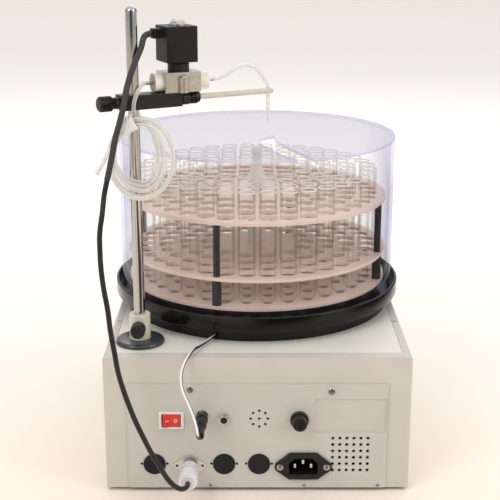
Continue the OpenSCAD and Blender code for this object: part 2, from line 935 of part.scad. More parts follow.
module swing_gear() {
    color("ivory")
        translate([col_x, col_y, gear_z + 1])
            rotate(20) {
                gear(swing_m, swing_n, gear_t - 1, 6.02);
                translate([0, 0, gear_t - 1])
                    ring(10, 6.02, 4);
            }
}

// ---------- column ----------

module column_flange() {
    color("dimgray")
        translate([col_x, col_y, 0])
            difference() {
                union() {
                    translate([0, 0, top_z])
                        rotate_extrude()
                            polygon(concat([[0, 0], [flange_r, 0], [flange_r, 1.2]],
                                [for (a = [0:15:90]) [flange_r - 2.8 + 2.8 * cos(a), 1.2 + 2.8 * sin(a)]],
                                [[0, flange_t]]));
                    translate([0, 0, gear_z + 18])
                        cylinder(r = flange_tube_r, h = top_z + 1 - gear_z - 18);
                }
                translate([0, 0, gear_z])
                    cylinder(r = 6 + run_fit, h = 100);
            }
}

module column_boss() {
    color("antiquewhite")
        translate([col_x, col_y, 0])
            difference() {
                union() {
                    translate([0, 0, boss_z])
                        cylinder(r = boss_r, h = boss_top - boss_z);
                    translate([0, 0, gear_z - 4])
                        cylinder(r = 6, h = boss_z - gear_z + 5);
                }
                translate([0, 0, bore_z])
                    cylinder(r = col_d / 2 + 0.04, h = 100);
                translate([0, 0, thumb_z])
                    rotate([90, 0, 0])
                        cylinder(r = 2 + run_fit, h = 20);
            }
}

module thumb_screw() {
    root = boss_r + 0.4;
    color("dimgray")
        translate([col_x, col_y, thumb_z])
            rotate([90, 0, 0]) {
                translate([0, 0, col_d / 2 + 0.1])
                    cylinder(r = 2, h = root - col_d / 2);
                translate([0, 0, root])
                    cylinder(r1 = 4.6, r2 = thumb_r, h = 3);
                translate([0, 0, root + 3])
                    cylinder(r = thumb_r, h = thumb_l - root - 4);
                translate([0, 0, thumb_l - 1])
                    cylinder(r1 = thumb_r, r2 = thumb_r - 1, h = 1);
            }
}

module column() {
    color("silver")
        translate([col_x, col_y, 0]) {
            translate([0, 0, bore_z + 0.2])
                cylinder(r = col_d / 2, h = col_top - col_d / 2 - bore_z - 0.2);
            translate([0, 0, col_top - col_d / 2])
                sphere(col_d / 2);
        }
}

// ---------- arm ----------

module arm_bar() {
    color("dimgray")
        on_bar()
            difference() {
                union() {
                    translate([-bar_back, -bar_w / 2, bar_h / 2 - 3.6])
                        cube([bar_back + bar_front, bar_w, 3.6]);
                    translate([-bar_back + 0.8, -bar_w / 2 + 1.2, -bar_h / 2])
                        cube([bar_back + bar_front - 0.8, bar_w - 2.4, bar_h - 3]);
                    translate([bar_front, 0, 0])
                        rotate([0, 90, 0]) {
                            cylinder(r = collar_r - 0.9, h = collar_l);
                            translate([0, 0, 1.2])
                                cylinder(r = collar_r, h = collar_l - 2.4);
                            translate([0, 0, collar_l])
                                cylinder(r = thread_r, h = thread_l);
                        }
                }
                translate([0, 0, -bar_h])
                    cylinder(r = col_d / 2 + run_fit, h = 2 * bar_h);
                translate([-bar_back - 1, 0, 0])
                    rotate([0, 90, 0])
                        cylinder(r = clamp_r + run_fit, h = bar_back);
                translate([9, 0, 0])
                    rotate([0, 90, 0])
                        cylinder(r = rod_d / 2 + run_fit, h = 80);
            }
}

module clamp_knob() {
    tip = col_d / 2 + 0.1;
    neck = bar_back + 0.2;
    color("dimgray")
        on_bar()
            rotate([0, -90, 0]) {
                translate([0, 0, tip])
                    cylinder(r = clamp_r, h = neck - tip + 1);
                translate([0, 0, neck])
                    cylinder(r = 3.4, h = knob_neck);
                translate([0, 0, neck + 1.2])
                    cylinder(r = 4.8, h = 3.4);
                translate([0, 0, neck + knob_neck - 1])
                    cylinder(r1 = knob_r - 1, r2 = knob_r, h = 1);
                translate([0, 0, neck + knob_neck])
                    cylinder(r = knob_r, h = knob_l - 2);
                translate([0, 0, neck + knob_neck - 2 + knob_l])
                    cylinder(r1 = knob_r, r2 = knob_r - 1, h = 1);
            }
}

module collet_nut() {
    start = bar_front + collar_l + 0.2;
    color("dimgray")
        on_bar()
            translate([start, 0, 0])
                rotate([0, 90, 0])
                    difference() {
                        union() {
                            cylinder(r = nut_r - 0.7, h = nut_l);
                            for (z = [0.4, 4])
                                translate([0, 0, z])
                                    cylinder(r = nut_r, h = 2.8);
                            translate([0, 0, nut_l - 2])
                                cylinder(r1 = nut_r - 0.7, r2 = nut_r - 1.6, h = 2);
                        }
                        translate([0, 0, -1])
                            cylinder(r = thread_r + run_fit, h = thread_l + 1.4);
                        translate([0, 0, -1])
                            cylinder(r = rod_d / 2 + run_fit, h = nut_l + 2);
                    }
}

module rod() {
    color("antiquewhite")
        on_bar()
            difference() {
                union() {
                    translate([rod_in, 0, 0])
                        rotate([0, 90, 0])
                            cylinder(r = rod_d / 2, h = rod_out - rod_in - 1);
                    translate([rod_out - 1, 0, 0])
                        rotate([0, 90, 0])
                            cylinder(r1 = rod_d / 2, r2 = rod_d / 2 - 0.6, h = 1);
                }
                translate([drip_r, 0, -10])
                    cylinder(r = hose_d / 2 + run_fit, h = 20);
            }
}

// ---------- valve ----------

module valve_body() {
    color("darkkhaki")
        on_valve()
            difference() {
                union() {
                    linear_extrude(valve_size[2])
                        soft_rect(valve_size[0], valve_size[1], 1.2);
                    translate([0, -valve_size[1] / 2, 0]) {
                        cylinder(r = 4.6, h = valve_size[2] - 4);
                        translate([0, 0, valve_size[2] - 4])
                            cylinder(r1 = 4.6, r2 = 3.2, h = 1.4);
                    }
                }
                translate([0, 0, 5])
                    cylinder(r = plunger_r + 0.1, h = 20);
                translate([-valve_size[0] / 2 - 1, 0, port_z])
                    rotate([0, 90, 0])
                        cylinder(r = 1.3, h = valve_size[0] + 2);
            }
}

module valve_stem() {
    color("dimgray")
        on_valve()
            difference() {
                union() {
                    translate([0, 0, valve_size[2]])
                        cylinder(r = stem_r, h = coil_z - valve_size[2] - 1.4);
                    translate([0, 0, valve_size[2]])
                        cylinder(r = core_r, h = coil_z + coil_tall + 1.2 - valve_size[2]);
                    translate([0, 0, coil_z - 2])
                        cylinder(r = stem_r - 1.4, h = 2);
                }
                translate([0, 0, valve_size[2] - 1])
                    cylinder(r = plunger_r + 0.1, h = plunger_bore_top - valve_size[2] + 1);
            }
}

module valve_coil() {
    color("dimgray")
        on_valve()
            difference() {
                union() {
                    translate([coil_side_x, 0, coil_z])
                        linear_extrude(coil_tall)
                            soft_rect(coil_size, coil_size, 1);
                    translate([coil_side_x - coil_size / 2 - 3.6, 1.5, coil_z + coil_tall - 6])
                        cube([8, 9, 8], center = true);
                }
                translate([0, 0, coil_z - 1])
                    cylinder(r = core_r + 0.05, h = coil_tall + 2);
            }
}

module valve_nut() {
    color("silver")
        on_valve()
            translate([0, 0, coil_z + coil_tall])
                difference() {
                    union() {
                        cylinder(r = 7.4, h = 1.6);
                        cylinder(r = 6.8, h = 3.4, $fn = 6);
                        translate([0, 0, 3.4])
                            cylinder(r1 = 4.8, r2 = 3.8, h = 1.4);
                    }
                    translate([0, 0, -1])
                        cylinder(r = core_r + 0.05, h = 2.4);
                    translate([0, 0, 4.2])
                        cube([10, 1.1, 2], center = true);
                }
}

module valve_fittings() {
    half = valve_size[0] / 2;
    color("white")
        on_valve() {
            translate([-half, 0, port_z])
                rotate([0, -90, 0])
                    difference() {
                        union() {
                            cylinder(r = white_r, h = white_l);
                            cylinder(r = barb_r, h = white_l + barb_l);
                        }
                        translate([0, 0, -1])
                            cylinder(r = 0.8, h = 40);
                    }
            translate([half, 0, port_z])
                rotate([0, 90, 0])
                    difference() {
                        union() {
                            cylinder(r = white_out_r, h = white_out_l);
                            cylinder(r = barb_r, h = white_out_l + barb_l);
                        }
                        translate([0, 0, -1])
                            cylinder(r = 0.8, h = 40);
                    }
            translate([half, -3, 1.9])
                rotate([0, 90, 0])
                    cylinder(r = 1.2, h = white_out_l);
        }
}

module valve_plunger() {
    color("silver")
        on_valve()
            translate([0, 0, 5.1])
                cylinder(r = plunger_r, h = 22);
}

module valve_spring() {
    turns = 5;
    steps = 10;
    spring_z = 27.7;
    spring_h = 11.6;
    color("silver")
        on_valve()
            hose([for (i = [0:turns * steps])
                concat(polar(2.9, 360 * i / steps), [spring_z + spring_h * i / turns / steps])], 0.9, 6);
}

// ---------- tray, guard and carousel ----------

module tray() {
    neck = 13 + slip;
    color("dimgray")
        rotate_extrude($fn = 96) {
            translate([tray_ring_r - 6, top_z])
                square([6, tray_ring_h + 0.5]);
            translate([neck, tray_z])
                square([tray_r - neck - 3, tray_wall]);
            translate([neck, tray_z])
                square([2, tray_wall + 2]);
            polygon([[tray_r - 4, tray_z], [tray_r - 1.6, tray_z], [tray_r - 0.5, tray_z + 0.7],
                [tray_r, tray_z + 2], [tray_r, tray_z + tray_h - 0.8], [tray_r - 0.8, tray_z + tray_h],
                [tray_r - tray_wall + 0.4, tray_z + tray_h], [tray_r - tray_wall, tray_z + tray_h - 0.5],
                [tray_r - tray_wall, tray_floor], [tray_r - 4, tray_floor]]);
        }
}

module guard_drum() {
    color("lavender")
        translate([0, 0, tray_floor])
            ring(guard_r, guard_r - guard_t, guard_h, $fn = 96);
}

// The slot follows the drip point past the tubes and is straighter than its arc at both ends
function slot_r(a) = drip_r + 3 + 0.0017 * pow(abs(a - slot_middle), 3);
slot_middle = 20;
slot_from = -13;
slot_to = 43;
slot_side = [for (a = [slot_from:4:slot_to]) a];

module lid_slot() {
    near = [for (a = slot_side) polar(slot_r(a) - slot_w / 2, a)];
    far = [for (i = [len(slot_side) - 1:-1:0]) polar(slot_r(slot_side[i]) + slot_w / 2, slot_side[i])];
    polygon(concat(near, far));
}

module guard_lid() {
    color("lavender")
        difference() {
            translate([0, 0, lid_z])
                cylinder(r = guard_r, h = guard_t, $fn = 96);
            translate([col_x, col_y, lid_z - 1])
                linear_extrude(guard_t + 2)
                    lid_slot();
        }
}

// The tube of each ring that stands nearest to the lid's slot
slot_places = [1, 1, 0, 0];

// Places its children at tube i of ring k
module at_tube(k, i) {
    rotate((i + 0.5) * 360 / ring_counts[k] - 90)
        translate([ring_r - k * ring_step, 0, 0])
            children();
}

// Places its children at every tube of the rings from first to last
module at_tubes(first, last) {
    for (k = [first:last])
        for (i = [0:ring_counts[k] - 1])
            at_tube(k, i)
                children();
}

// The same, without the tubes under the slot
module at_plain_tubes(first, last) {
    for (k = [first:last])
        for (i = [0:ring_counts[k] - 1])
            if (i != slot_places[k])
                at_tube(k, i)
                    children();
}

post_r = disc_r - 4.3;
post_turn = -107.5;

module at_posts() {
    for (i = [0:3])
        rotate(post_turn + 90 * i)
            translate([post_r, 0, 0])
                children();
}

module disc(z, hole_r) {
    translate([0, 0, z])
        difference() {
            cylinder(r = disc_r, h = disc_t, $fn = 96);
            translate([0, 0, -1])
                cylinder(r = 8.6, h = disc_t + 2);
            at_tubes(0, 3)
                translate([0, 0, -1])
                    cylinder(r = hole_r, h = disc_t + 2);
        }
}

module tube_discs() {
    color("mistyrose") {
        disc(base_z, seat_hole_r);
        disc(mid_z, hole_d / 2);
        disc(upper_z, hole_d / 2);
    }
}

module posts() {
    color("dimgray")
        at_posts() {
            translate([0, 0, base_z + disc_t])
                cylinder(r = 4.2, h = lower_gap);
            translate([0, 0, mid_z + disc_t])
                cylinder(r = 3.1, h = upper_gap);
        }
}

module hub() {
    color("white")
        difference() {
            union() {
                translate([0, 0, base_z - 6])
                    cylinder(r = 24, h = 6);
                translate([0, 0, base_z - 1])
                    cylinder(r = 8.5, h = disc_top + 13 - base_z);
                translate([0, 0, disc_top + 12])
                    cylinder(r1 = 8.5, r2 = 4, h = 16);
                translate([0, 0, disc_top + 28])
                    cylinder(r = 4, h = 10);
                translate([0, 0, disc_top + 38])
                    sphere(5);
            }
            translate([0, 0, base_z - 7])
                cylinder(r = spindle_r + 0.04, h = 10.2);
        }
}

module test_tube() {
    r = tube_d / 2;
    ri = r - tube_wall;
    z0 = base_z + disc_t - seat_sink;
    translate([0, 0, z0])
        difference() {
            union() {
                translate([0, 0, r])
                    sphere(r);
                translate([0, 0, r])
                    cylinder(r = r, h = tube_len - r);
            }
            translate([0, 0, r])
                sphere(ri);
            translate([0, 0, r])
                cylinder(r = ri, h = tube_len);
        }
}

module outer_tubes() {
    color("azure")
        at_plain_tubes(0, 1)
            test_tube();
}

module inner_tubes() {
    color("azure")
        at_plain_tubes(2, 3)
            test_tube();
}

module slot_tubes() {
    color("azure")
        for (k = [0:3])
            at_tube(k, slot_places[k])
                test_tube();
}

// ---------- cords and tubes ----------

module jack_plug() {
    color("dimgray")
        on_rear(jack_at[0]) {
            translate([0, 0, -7])
                cylinder(r = 2.8, h = 12);
            translate([0, 0, 4.2])
                cylinder(r = 4.5, h = 18);
            translate([0, 0, 4.2])
                cylinder(r = 5.2, h = 6);
            translate([0, 0, 22.2])
                cylinder(r1 = 4.5, r2 = 3.2, h = 5);
            translate([0, 0, 27.2])
                cylinder(r = 3.2, h = jack_plug_l - 27.2);
        }
}

module sensor_lead() {
    color("dimgray")
        hose(lead_route, lead_d, hose_sides);
}

module cord_plug() {
    color("white")
        on_rear(cord_at) {
            translate([0, 0, -5])
                cylinder(r = 5.1, h = 12);
            translate([0, 0, 5.2])
                cylinder(r = 6.6, h = 6);
            translate([0, 0, 11.2])
                cylinder(r1 = 6.6, r2 = plug_r, h = 2.5);
            translate([0, 0, 13.7])
                cylinder(r = plug_r, h = plug_l - 16.2);
            translate([0, 0, plug_l - 2.5])
                cylinder(r1 = plug_r, r2 = plug_r - 2, h = 2.5);
        }
}

module solenoid_cord() {
    color("dimgray")
        hose(cord_route, cord_d, cord_sides);
}

module cord_sleeve() {
    color("black")
        hose(sleeve_route, sleeve_d, cord_sides);
}

module feed_tube() {
    color("whitesmoke")
        hose(feed_path, hose_d, hose_sides);
}

module tube_coil() {
    color("whitesmoke")
        hose(concat(coil_path, tail_path), hose_d, coil_sides);
}

module tube_tie() {
    a = coil_start - 4;
    deep = 4 * coil_pitch + 1.4;
    high = 2 * hose_d + 3.2;
    place = [coil_at[0] + (coil_left - coil_layer / 2) * cos(a), coil_at[1],
        coil_at[2] + (coil_up - coil_layer / 2) * sin(a)];
    lean = atan2(coil_up * cos(a), -coil_left * sin(a));
    color("white")
        difference() {
            union() {
                translate(place)
                    rotate([0, -lean, 0])
                        rotate([0, 90, 0]) {
                            translate([0, 0, -tie_l / 2])
                                linear_extrude(tie_l)
                                    soft_rect(high + 2 * tie_t, deep + 2 * tie_t, 2.5);
                            for (i = [0:3])
                                translate([0, 0, -tie_l / 2 + 0.8 + i * 3])
                                    linear_extrude(1.6)
                                        soft_rect(high + 3 * tie_t, deep + 3 * tie_t, 2.9);
                        }
                translate([col_x, col_y, place[2] - 4])
                    cylinder(r = col_d / 2 + tie_t + 0.3, h = 8);
            }
            translate(place)
                rotate([0, -lean, 0])
                    rotate([0, 90, 0])
                        translate([0, 0, -tie_l])
                            linear_extrude(2 * tie_l)
                                soft_rect(high, deep, 2);
            translate([col_x, col_y, top_z])
                cylinder(r = col_d / 2 + run_fit, h = col_h);
            hose(feed_path, hose_d + 3 * slip, hose_sides);
        }
}

module drip_tube() {
    top = on_arm(drip_r, 3.6);
    tip = on_arm(drip_r, -27);
    color("whitesmoke")
        hose(concat(drip_route, [top, on_arm(drip_r, -8), tip]), hose_d, hose_sides);
}

base_pan();
cabinet_shell();
top_plate();
rear_panel();
front_panel();
keypad();
feet();
case_screws();
rocker_bezel();
rocker();
fuse_holder();
fuse_cap();
mains_inlet();
inlet_pins();
buzzer();
jack_sockets();
cord_socket();
blank_covers();
transformer();
main_board();
gear_motors();
motor_pinion();
spindle_gear();
spindle();
spindle_bearing();
swing_pinion();
swing_gear();
column_flange();
column_boss();
thumb_screw();
column();
arm_bar();
clamp_knob();
collet_nut();
rod();
valve_coil();
valve_nut();
valve_stem();
valve_body();
valve_fittings();
valve_plunger();
valve_spring();
tray();
guard_drum();
guard_lid();
tube_discs();
posts();
hub();
outer_tubes();
inner_tubes();
slot_tubes();
jack_plug();
sensor_lead();
cord_plug();
solenoid_cord();
cord_sleeve();
feed_tube();
tube_coil();
tube_tie();
drip_tube();
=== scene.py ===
# %% [markdown]
# # A fraction collector, dressed in Blender
# The machine stands on a bench and is seen from its connector side. A hundred test tubes stand on a
# round carousel under a clear guard. An arm on a column carries a small valve and drips into one tube
# after another. The exact shapes come from the CAD frame, and this file gives every surface its finish,
# remakes the pieces that need finer detail, and adds the cords, the light and the camera.

# %% Load the frame
import math

import bmesh
import bpy
from mathutils import Matrix, Vector
from mathutils.bvhtree import BVHTree
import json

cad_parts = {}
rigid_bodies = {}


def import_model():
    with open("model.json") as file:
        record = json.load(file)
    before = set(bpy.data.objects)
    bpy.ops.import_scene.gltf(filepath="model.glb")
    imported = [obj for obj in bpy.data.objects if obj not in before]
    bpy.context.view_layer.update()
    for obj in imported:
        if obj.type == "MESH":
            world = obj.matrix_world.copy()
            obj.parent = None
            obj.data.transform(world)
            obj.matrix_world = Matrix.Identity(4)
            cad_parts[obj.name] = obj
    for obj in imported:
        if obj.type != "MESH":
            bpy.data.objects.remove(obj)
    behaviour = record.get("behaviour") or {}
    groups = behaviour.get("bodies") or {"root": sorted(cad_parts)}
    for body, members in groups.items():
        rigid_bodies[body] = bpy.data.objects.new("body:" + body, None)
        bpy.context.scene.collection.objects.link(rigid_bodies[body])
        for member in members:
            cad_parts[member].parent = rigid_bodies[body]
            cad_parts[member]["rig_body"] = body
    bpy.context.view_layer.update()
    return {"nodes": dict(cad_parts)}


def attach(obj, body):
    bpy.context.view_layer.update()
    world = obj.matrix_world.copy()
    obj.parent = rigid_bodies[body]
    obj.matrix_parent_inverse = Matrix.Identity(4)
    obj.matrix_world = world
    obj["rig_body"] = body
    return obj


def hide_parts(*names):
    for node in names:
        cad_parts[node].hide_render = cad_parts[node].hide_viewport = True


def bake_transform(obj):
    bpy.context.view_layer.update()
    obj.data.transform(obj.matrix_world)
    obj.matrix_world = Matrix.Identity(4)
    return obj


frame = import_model()
nodes = frame["nodes"]
MM = 0.001
print("CAD nodes:", len(nodes))

# %% [markdown]
# ## Camera
# The photograph was taken from a little above, straight onto the connector panel, with a longish lens.
# The position and the tilt were worked out from the cabinet's edges and the three discs of the carousel,
# whose ellipses say how steeply the camera looks down.

# %% Camera
CAMERA_PLACE = (-6.36 * MM, -1039.24 * MM, 473.74 * MM)
CAMERA_TILT = 16.33
LENS = 80.88
SENSOR = 36.0
NEAREST = 0.01

camera_data = bpy.data.cameras.new("camera")
camera_data.lens = LENS
camera_data.sensor_width = SENSOR
camera_data.clip_start = NEAREST
camera = bpy.data.objects.new("camera", camera_data)
camera.location = CAMERA_PLACE
camera.rotation_euler = (math.radians(90 - CAMERA_TILT), 0, 0)
bpy.context.scene.collection.objects.link(camera)
bpy.context.scene.camera = camera
print("camera tilt:", CAMERA_TILT)

# %% [markdown]
# ## Nodes of a material
# Nearly every finish of this machine is a Principled shader with a procedural grain, and the grain is the
# same few nodes each time. So the nodes get helpers: one that adds a node, one that links two, and small
# ones for a noise, for a range of numbers and for two tones. Object coordinates are in metres, so a scale
# of 1000 gives features of about a millimetre.

# %% Node helpers
NOISE_ROUGHNESS, EVEN_BLEND = 0.55, 0.5


def add_node(material, kind, **settings):
    node = material.node_tree.nodes.new(kind)
    for name, value in settings.items():
        setattr(node, name, value)
    return node


def join(material, output, socket):
    material.node_tree.links.new(output, socket)


def reckon(material, operation, first, second=None, kind="ShaderNodeMath"):
    """One sum of the node tree. Each side is another node's socket or a plain value."""
    node = add_node(material, kind, operation=operation)
    for socket, side in zip(node.inputs, (first, second)):
        if isinstance(side, bpy.types.NodeSocket):
            join(material, side, socket)
        elif side is not None:
            socket.default_value = side
    return node.outputs["Value"]


def pattern_place(material, stretch=(1, 1, 1)):
    """Coordinates of the piece, stretched where the pattern runs one way."""
    place = add_node(material, "ShaderNodeTexCoord")
    mapping = add_node(material, "ShaderNodeMapping")
    mapping.inputs["Scale"].default_value = stretch
    join(material, place.outputs["Object"], mapping.inputs["Vector"])
    return mapping.outputs["Vector"]


def facing_away(material):
    """0 where the skin faces the eye, rising to 1 at its edges."""
    node = add_node(material, "ShaderNodeLayerWeight")
    node.inputs["Blend"].default_value = EVEN_BLEND
    return node.outputs["Facing"]


def noise(material, vector, scale, detail):
    node = add_node(material, "ShaderNodeTexNoise")
    node.inputs["Scale"].default_value = scale
    node.inputs["Detail"].default_value = detail
    node.inputs["Roughness"].default_value = NOISE_ROUGHNESS
    join(material, vector, node.inputs["Vector"])
    return node.outputs["Fac"]


def spread(material, value, low, high, start=0.3, end=0.7):
    """A value from start to end mapped onto the range low to high."""
    node = add_node(material, "ShaderNodeMapRange")
    for key, number in zip(("From Min", "From Max", "To Min", "To Max"), (start, end, low, high)):
        node.inputs[key].default_value = number
    join(material, value, node.inputs["Value"])
    return node.outputs["Result"]


def two_tones(material, value, first, second, start=0.3, end=0.7):
    """A value turned into a colour: the first up to start, the second from end on."""
    ramp = add_node(material, "ShaderNodeValToRGB")
    ramp.color_ramp.elements[0].position = start
    ramp.color_ramp.elements[1].position = end
    ramp.color_ramp.elements[0].color = (*first, 1)
    ramp.color_ramp.elements[1].color = (*second, 1)
    join(material, value, ramp.inputs["Fac"])
    return ramp.outputs["Color"]


print("node helpers: add_node, join, reckon, pattern_place, facing_away, noise, spread, two_tones")

# %% [markdown]
# ## A mottled finish
# Real paint, rubber and metal are never one flat colour with one gloss. A wide noise, the cloud, varies the
# tone and the roughness together, and a fine one lifts the skin a little. So each finish below only says
# what is special about it: its two tones, how coarse the grain is, how rough it is and how deep its bump.

# %% Mottled finish
CLOUD_DETAIL, GRAIN_DETAIL, COAT_ROUGHNESS = 4.0, 2.0, 0.08


def shader_of(material):
    return material.node_tree.nodes["Principled BSDF"]


def finish(name, first, second, rough=(0.4, 0.5), metal=0.0, scale=300, grain=1500, bump=0.1,
           depth=0.0001, stretch=(1, 1, 1), coat=0.0, specular=0.5):
    """A Principled finish: mottled colour, varied gloss and a fine bump."""
    material = bpy.data.materials.new(name)
    material.use_nodes = True
    shader = shader_of(material)
    shader.inputs["Metallic"].default_value = metal
    shader.inputs["Specular IOR Level"].default_value = specular
    shader.inputs["Coat Weight"].default_value = coat
    shader.inputs["Coat Roughness"].default_value = COAT_ROUGHNESS
    place = pattern_place(material, stretch)
    cloud = noise(material, place, scale, CLOUD_DETAIL)
    fine = noise(material, place, grain, GRAIN_DETAIL)
    join(material, two_tones(material, cloud, first, second), shader.inputs["Base Color"])
    join(material, spread(material, cloud, *rough), shader.inputs["Roughness"])
    relief = add_node(material, "ShaderNodeBump")
    relief.inputs["Strength"].default_value = bump
    relief.inputs["Distance"].default_value = depth
    join(material, fine, relief.inputs["Height"])
    join(material, relief.outputs["Normal"], shader.inputs["Normal"])
    return material


print("mottled finish: coat roughness", COAT_ROUGHNESS)

# %% [markdown]
# ## Milky plastic
# Silicone hose, a cable tie and the valve's plug are thin and milky: the light goes through them where they
# face the eye, and their edges are white. Real subsurface scattering would be slow and noisy at a wall of
# half a millimetre. So a see-through shader is mixed with the white finish, and Layer Weight says how much.

# %% Milky plastic
MILKY_SHADOW, MILKY_WINDOW = 0.94, (0.97, 0.97, 0.96, 1)
MILKY_START, MILKY_END = 0.05, 0.6


def milky(name, tone, clear=0.6, solid=0.05, rough=0.3):
    """Thin milky plastic: clear and solid are how far it lets light through at its middle and its edges."""
    material = finish(name, tuple(MILKY_SHADOW * part for part in tone), tone, (rough, rough + 0.1),
                      scale=150, grain=800, bump=0.04)
    see_through = spread(material, facing_away(material), clear, solid, MILKY_START, MILKY_END)
    window = add_node(material, "ShaderNodeBsdfTransparent")
    window.inputs["Color"].default_value = MILKY_WINDOW
    blend = add_node(material, "ShaderNodeMixShader")
    join(material, see_through, blend.inputs["Fac"])
    join(material, shader_of(material).outputs["BSDF"], blend.inputs[1])
    join(material, window.outputs["BSDF"], blend.inputs[2])
    join(material, blend.outputs["Shader"], material.node_tree.nodes["Material Output"].inputs["Surface"])
    return material


print("milky plastic: window colour", MILKY_WINDOW[:3])

# %% [markdown]
# ## New pieces
# Every piece made here gets an object at the origin, a material and the CAD body that it rides on. Its
# faces are smooth, and only edges that turn by more than the sharp angle stay hard, so that round walls
# look round and corners stay crisp.

# %% New pieces
SHARP = 32


def new_object(name, mesh, material, body=None):
    """An object in the scene, set on a body when one is given."""
    piece = bpy.data.objects.new(name, mesh)
    bpy.context.scene.collection.objects.link(piece)
    mesh.materials.clear()
    mesh.materials.append(material)
    if body:
        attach(piece, body)
    return piece


def smooth_faces(bm, sharp=SHARP):
    """Smooth shading with hard edges where two faces meet at more than the sharp angle."""
    for face in bm.faces:
        face.smooth = True
    for edge in bm.edges:
        if len(edge.link_faces) == 2:
            edge.smooth = edge.calc_face_angle(0) < math.radians(sharp)


def to_mesh(bm, name, sharp=SHARP):
    bmesh.ops.recalc_face_normals(bm, faces=bm.faces)
    smooth_faces(bm, sharp)
    mesh = bpy.data.meshes.new(name)
    bm.to_mesh(mesh)
    bm.free()
    return mesh


print("edges stay hard past", SHARP, "degrees")

# %% [markdown]
# ## Refined copies
# A CAD node arrives as loose triangles with knife edges, and no real part has those. To give it soft edges
# that catch the light, its mesh is copied, its double corners are merged, and flat areas are dissolved back
# into single faces. A narrow bevel follows, and the copy then stands for the node. Modelling each part
# again would only drift away from the CAD.

# %% Refined copies
WELD = 2e-6
FLAT_WITHIN = math.radians(0.5)


def soften(piece, width, segments):
    """A narrow round edge where two faces meet at more than the sharp angle."""
    edge = piece.modifiers.new("soft edge", "BEVEL")
    edge.width = width
    edge.segments = segments
    edge.limit_method = "ANGLE"
    edge.angle_limit = math.radians(SHARP)
    edge.harden_normals = True
    edge.use_clamp_overlap = True


def refined(node, name, material, width=0.0003, segments=2):
    """A merged and bevelled copy of a CAD node that stands for it."""
    mesh = nodes[node].data.copy()
    bm = bmesh.new()
    bm.from_mesh(mesh)
    bmesh.ops.remove_doubles(bm, verts=bm.verts, dist=WELD)
    bmesh.ops.dissolve_limit(bm, angle_limit=FLAT_WITHIN, verts=bm.verts, edges=bm.edges)
    smooth_faces(bm)
    bm.to_mesh(mesh)
    bm.free()
    piece = new_object(name, mesh, material, nodes[node]["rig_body"])
    if width:
        soften(piece, width, segments)
    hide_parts(node)
    return piece


print("corners closer than", WELD / MM, "mm are merged")

# %% [markdown]
# ## Cords and tubes
# A cord is a round tube along a smooth line through the points of its CAD route. The line is a
# Catmull-Rom curve: it passes through every point and needs no handles. The tube is made by Blender's
# own curve bevel and then turned into a mesh.

# %% Smooth lines and tubes
TUBE_ROUND, TUBE_WELD, TUBE_SHARP = 5, 1e-6, 50


def smooth_line(points, step=1.6):
    """Points along a Catmull-Rom curve through the given ones, in metres."""
    knots = [Vector(p) * MM for p in points]
    knots = [2 * knots[0] - knots[1]] + knots + [2 * knots[-1] - knots[-2]]
    line = []
    for a, b, c, d in zip(knots, knots[1:], knots[2:], knots[3:]):
        count = max(2, round((c - b).length / (step * MM)))
        for i in range(count):
            t = i / count
            line.append(0.5 * ((2 * b) + (c - a) * t + (2 * a - 5 * b + 4 * c - d) * t * t
                               + (3 * b - a - 3 * c + d) * t ** 3))
    return line + [knots[-2]]


def line_length(line):
    return sum((b - a).length for a, b in zip(line, line[1:]))


def tube_mesh(name, line, diameter):
    """A round tube along a line, made by a curve's own bevel."""
    curve = bpy.data.curves.new(name, "CURVE")
    curve.dimensions = "3D"
    curve.bevel_depth = diameter / 2
    curve.bevel_resolution = TUBE_ROUND
    curve.use_fill_caps = True
    curve.twist_mode = "MINIMUM"
    spline = curve.splines.new("POLY")
    spline.points.add(len(line) - 1)
    for point, place in zip(spline.points, line):
        point.co = (*place, 1)
    holder = bpy.data.objects.new(name, curve)
    bpy.context.scene.collection.objects.link(holder)
    bpy.context.view_layer.update()
    mesh = bpy.data.meshes.new_from_object(holder.evaluated_get(bpy.context.evaluated_depsgraph_get()))
    mesh.name = name
    bpy.data.objects.remove(holder)
    bm = bmesh.new()
    bm.from_mesh(mesh)
    bmesh.ops.remove_doubles(bm, verts=bm.verts, dist=TUBE_WELD)
    smooth_faces(bm, TUBE_SHARP)
    bm.to_mesh(mesh)
    bm.free()
    return mesh


print("a tube's roundness:", TUBE_ROUND)

# %% [markdown]
# ### Routes
# The points were chosen from the photograph and are the same as in the CAD source. They follow how
# the real cords hang: the valve's cord falls from the coil past the column to its plug, the sensor's lead
# leaves the tray and bends down to its jack, and the hoses run to and from the valve.

# %% Routes, in millimetres
SLEEVE_D, CORD_D, LEAD_D, HOSE_D = 5.0 * MM, 4.3 * MM, 2.5 * MM, 3.2 * MM
sleeve_route = [(-86.9, -112.4, 385.8), (-89, -113.6, 385.6), (-91.4, -116.6, 384.4), (-92.8, -121, 381.6),
                (-94, -128, 375.6), (-98, -134.4, 366), (-102, -140, 355), (-105, -145, 344),
                (-107, -150, 332), (-110, -153, 320), (-114, -156, 306), (-117, -158, 291),
                (-121, -159, 274)]
cord_route = [(-121.1, -159, 273.6), (-123.6, -160, 262), (-125, -166, 248), (-127, -170, 233),
              (-127, -173, 218), (-126, -177, 203), (-124, -180, 188), (-121, -184, 172),
              (-119, -188, 156), (-116, -192, 140), (-113, -196, 124), (-109, -199, 110),
              (-104, -203, 97), (-99, -206, 85), (-93, -208, 72), (-87, -210, 60),
              (-80, -212, 48), (-73, -214, 37), (-67, -213, 30), (-62, -209.5, 26.2),
              (-58.8, -204, 25), (-58, -197.9, 24.9)]
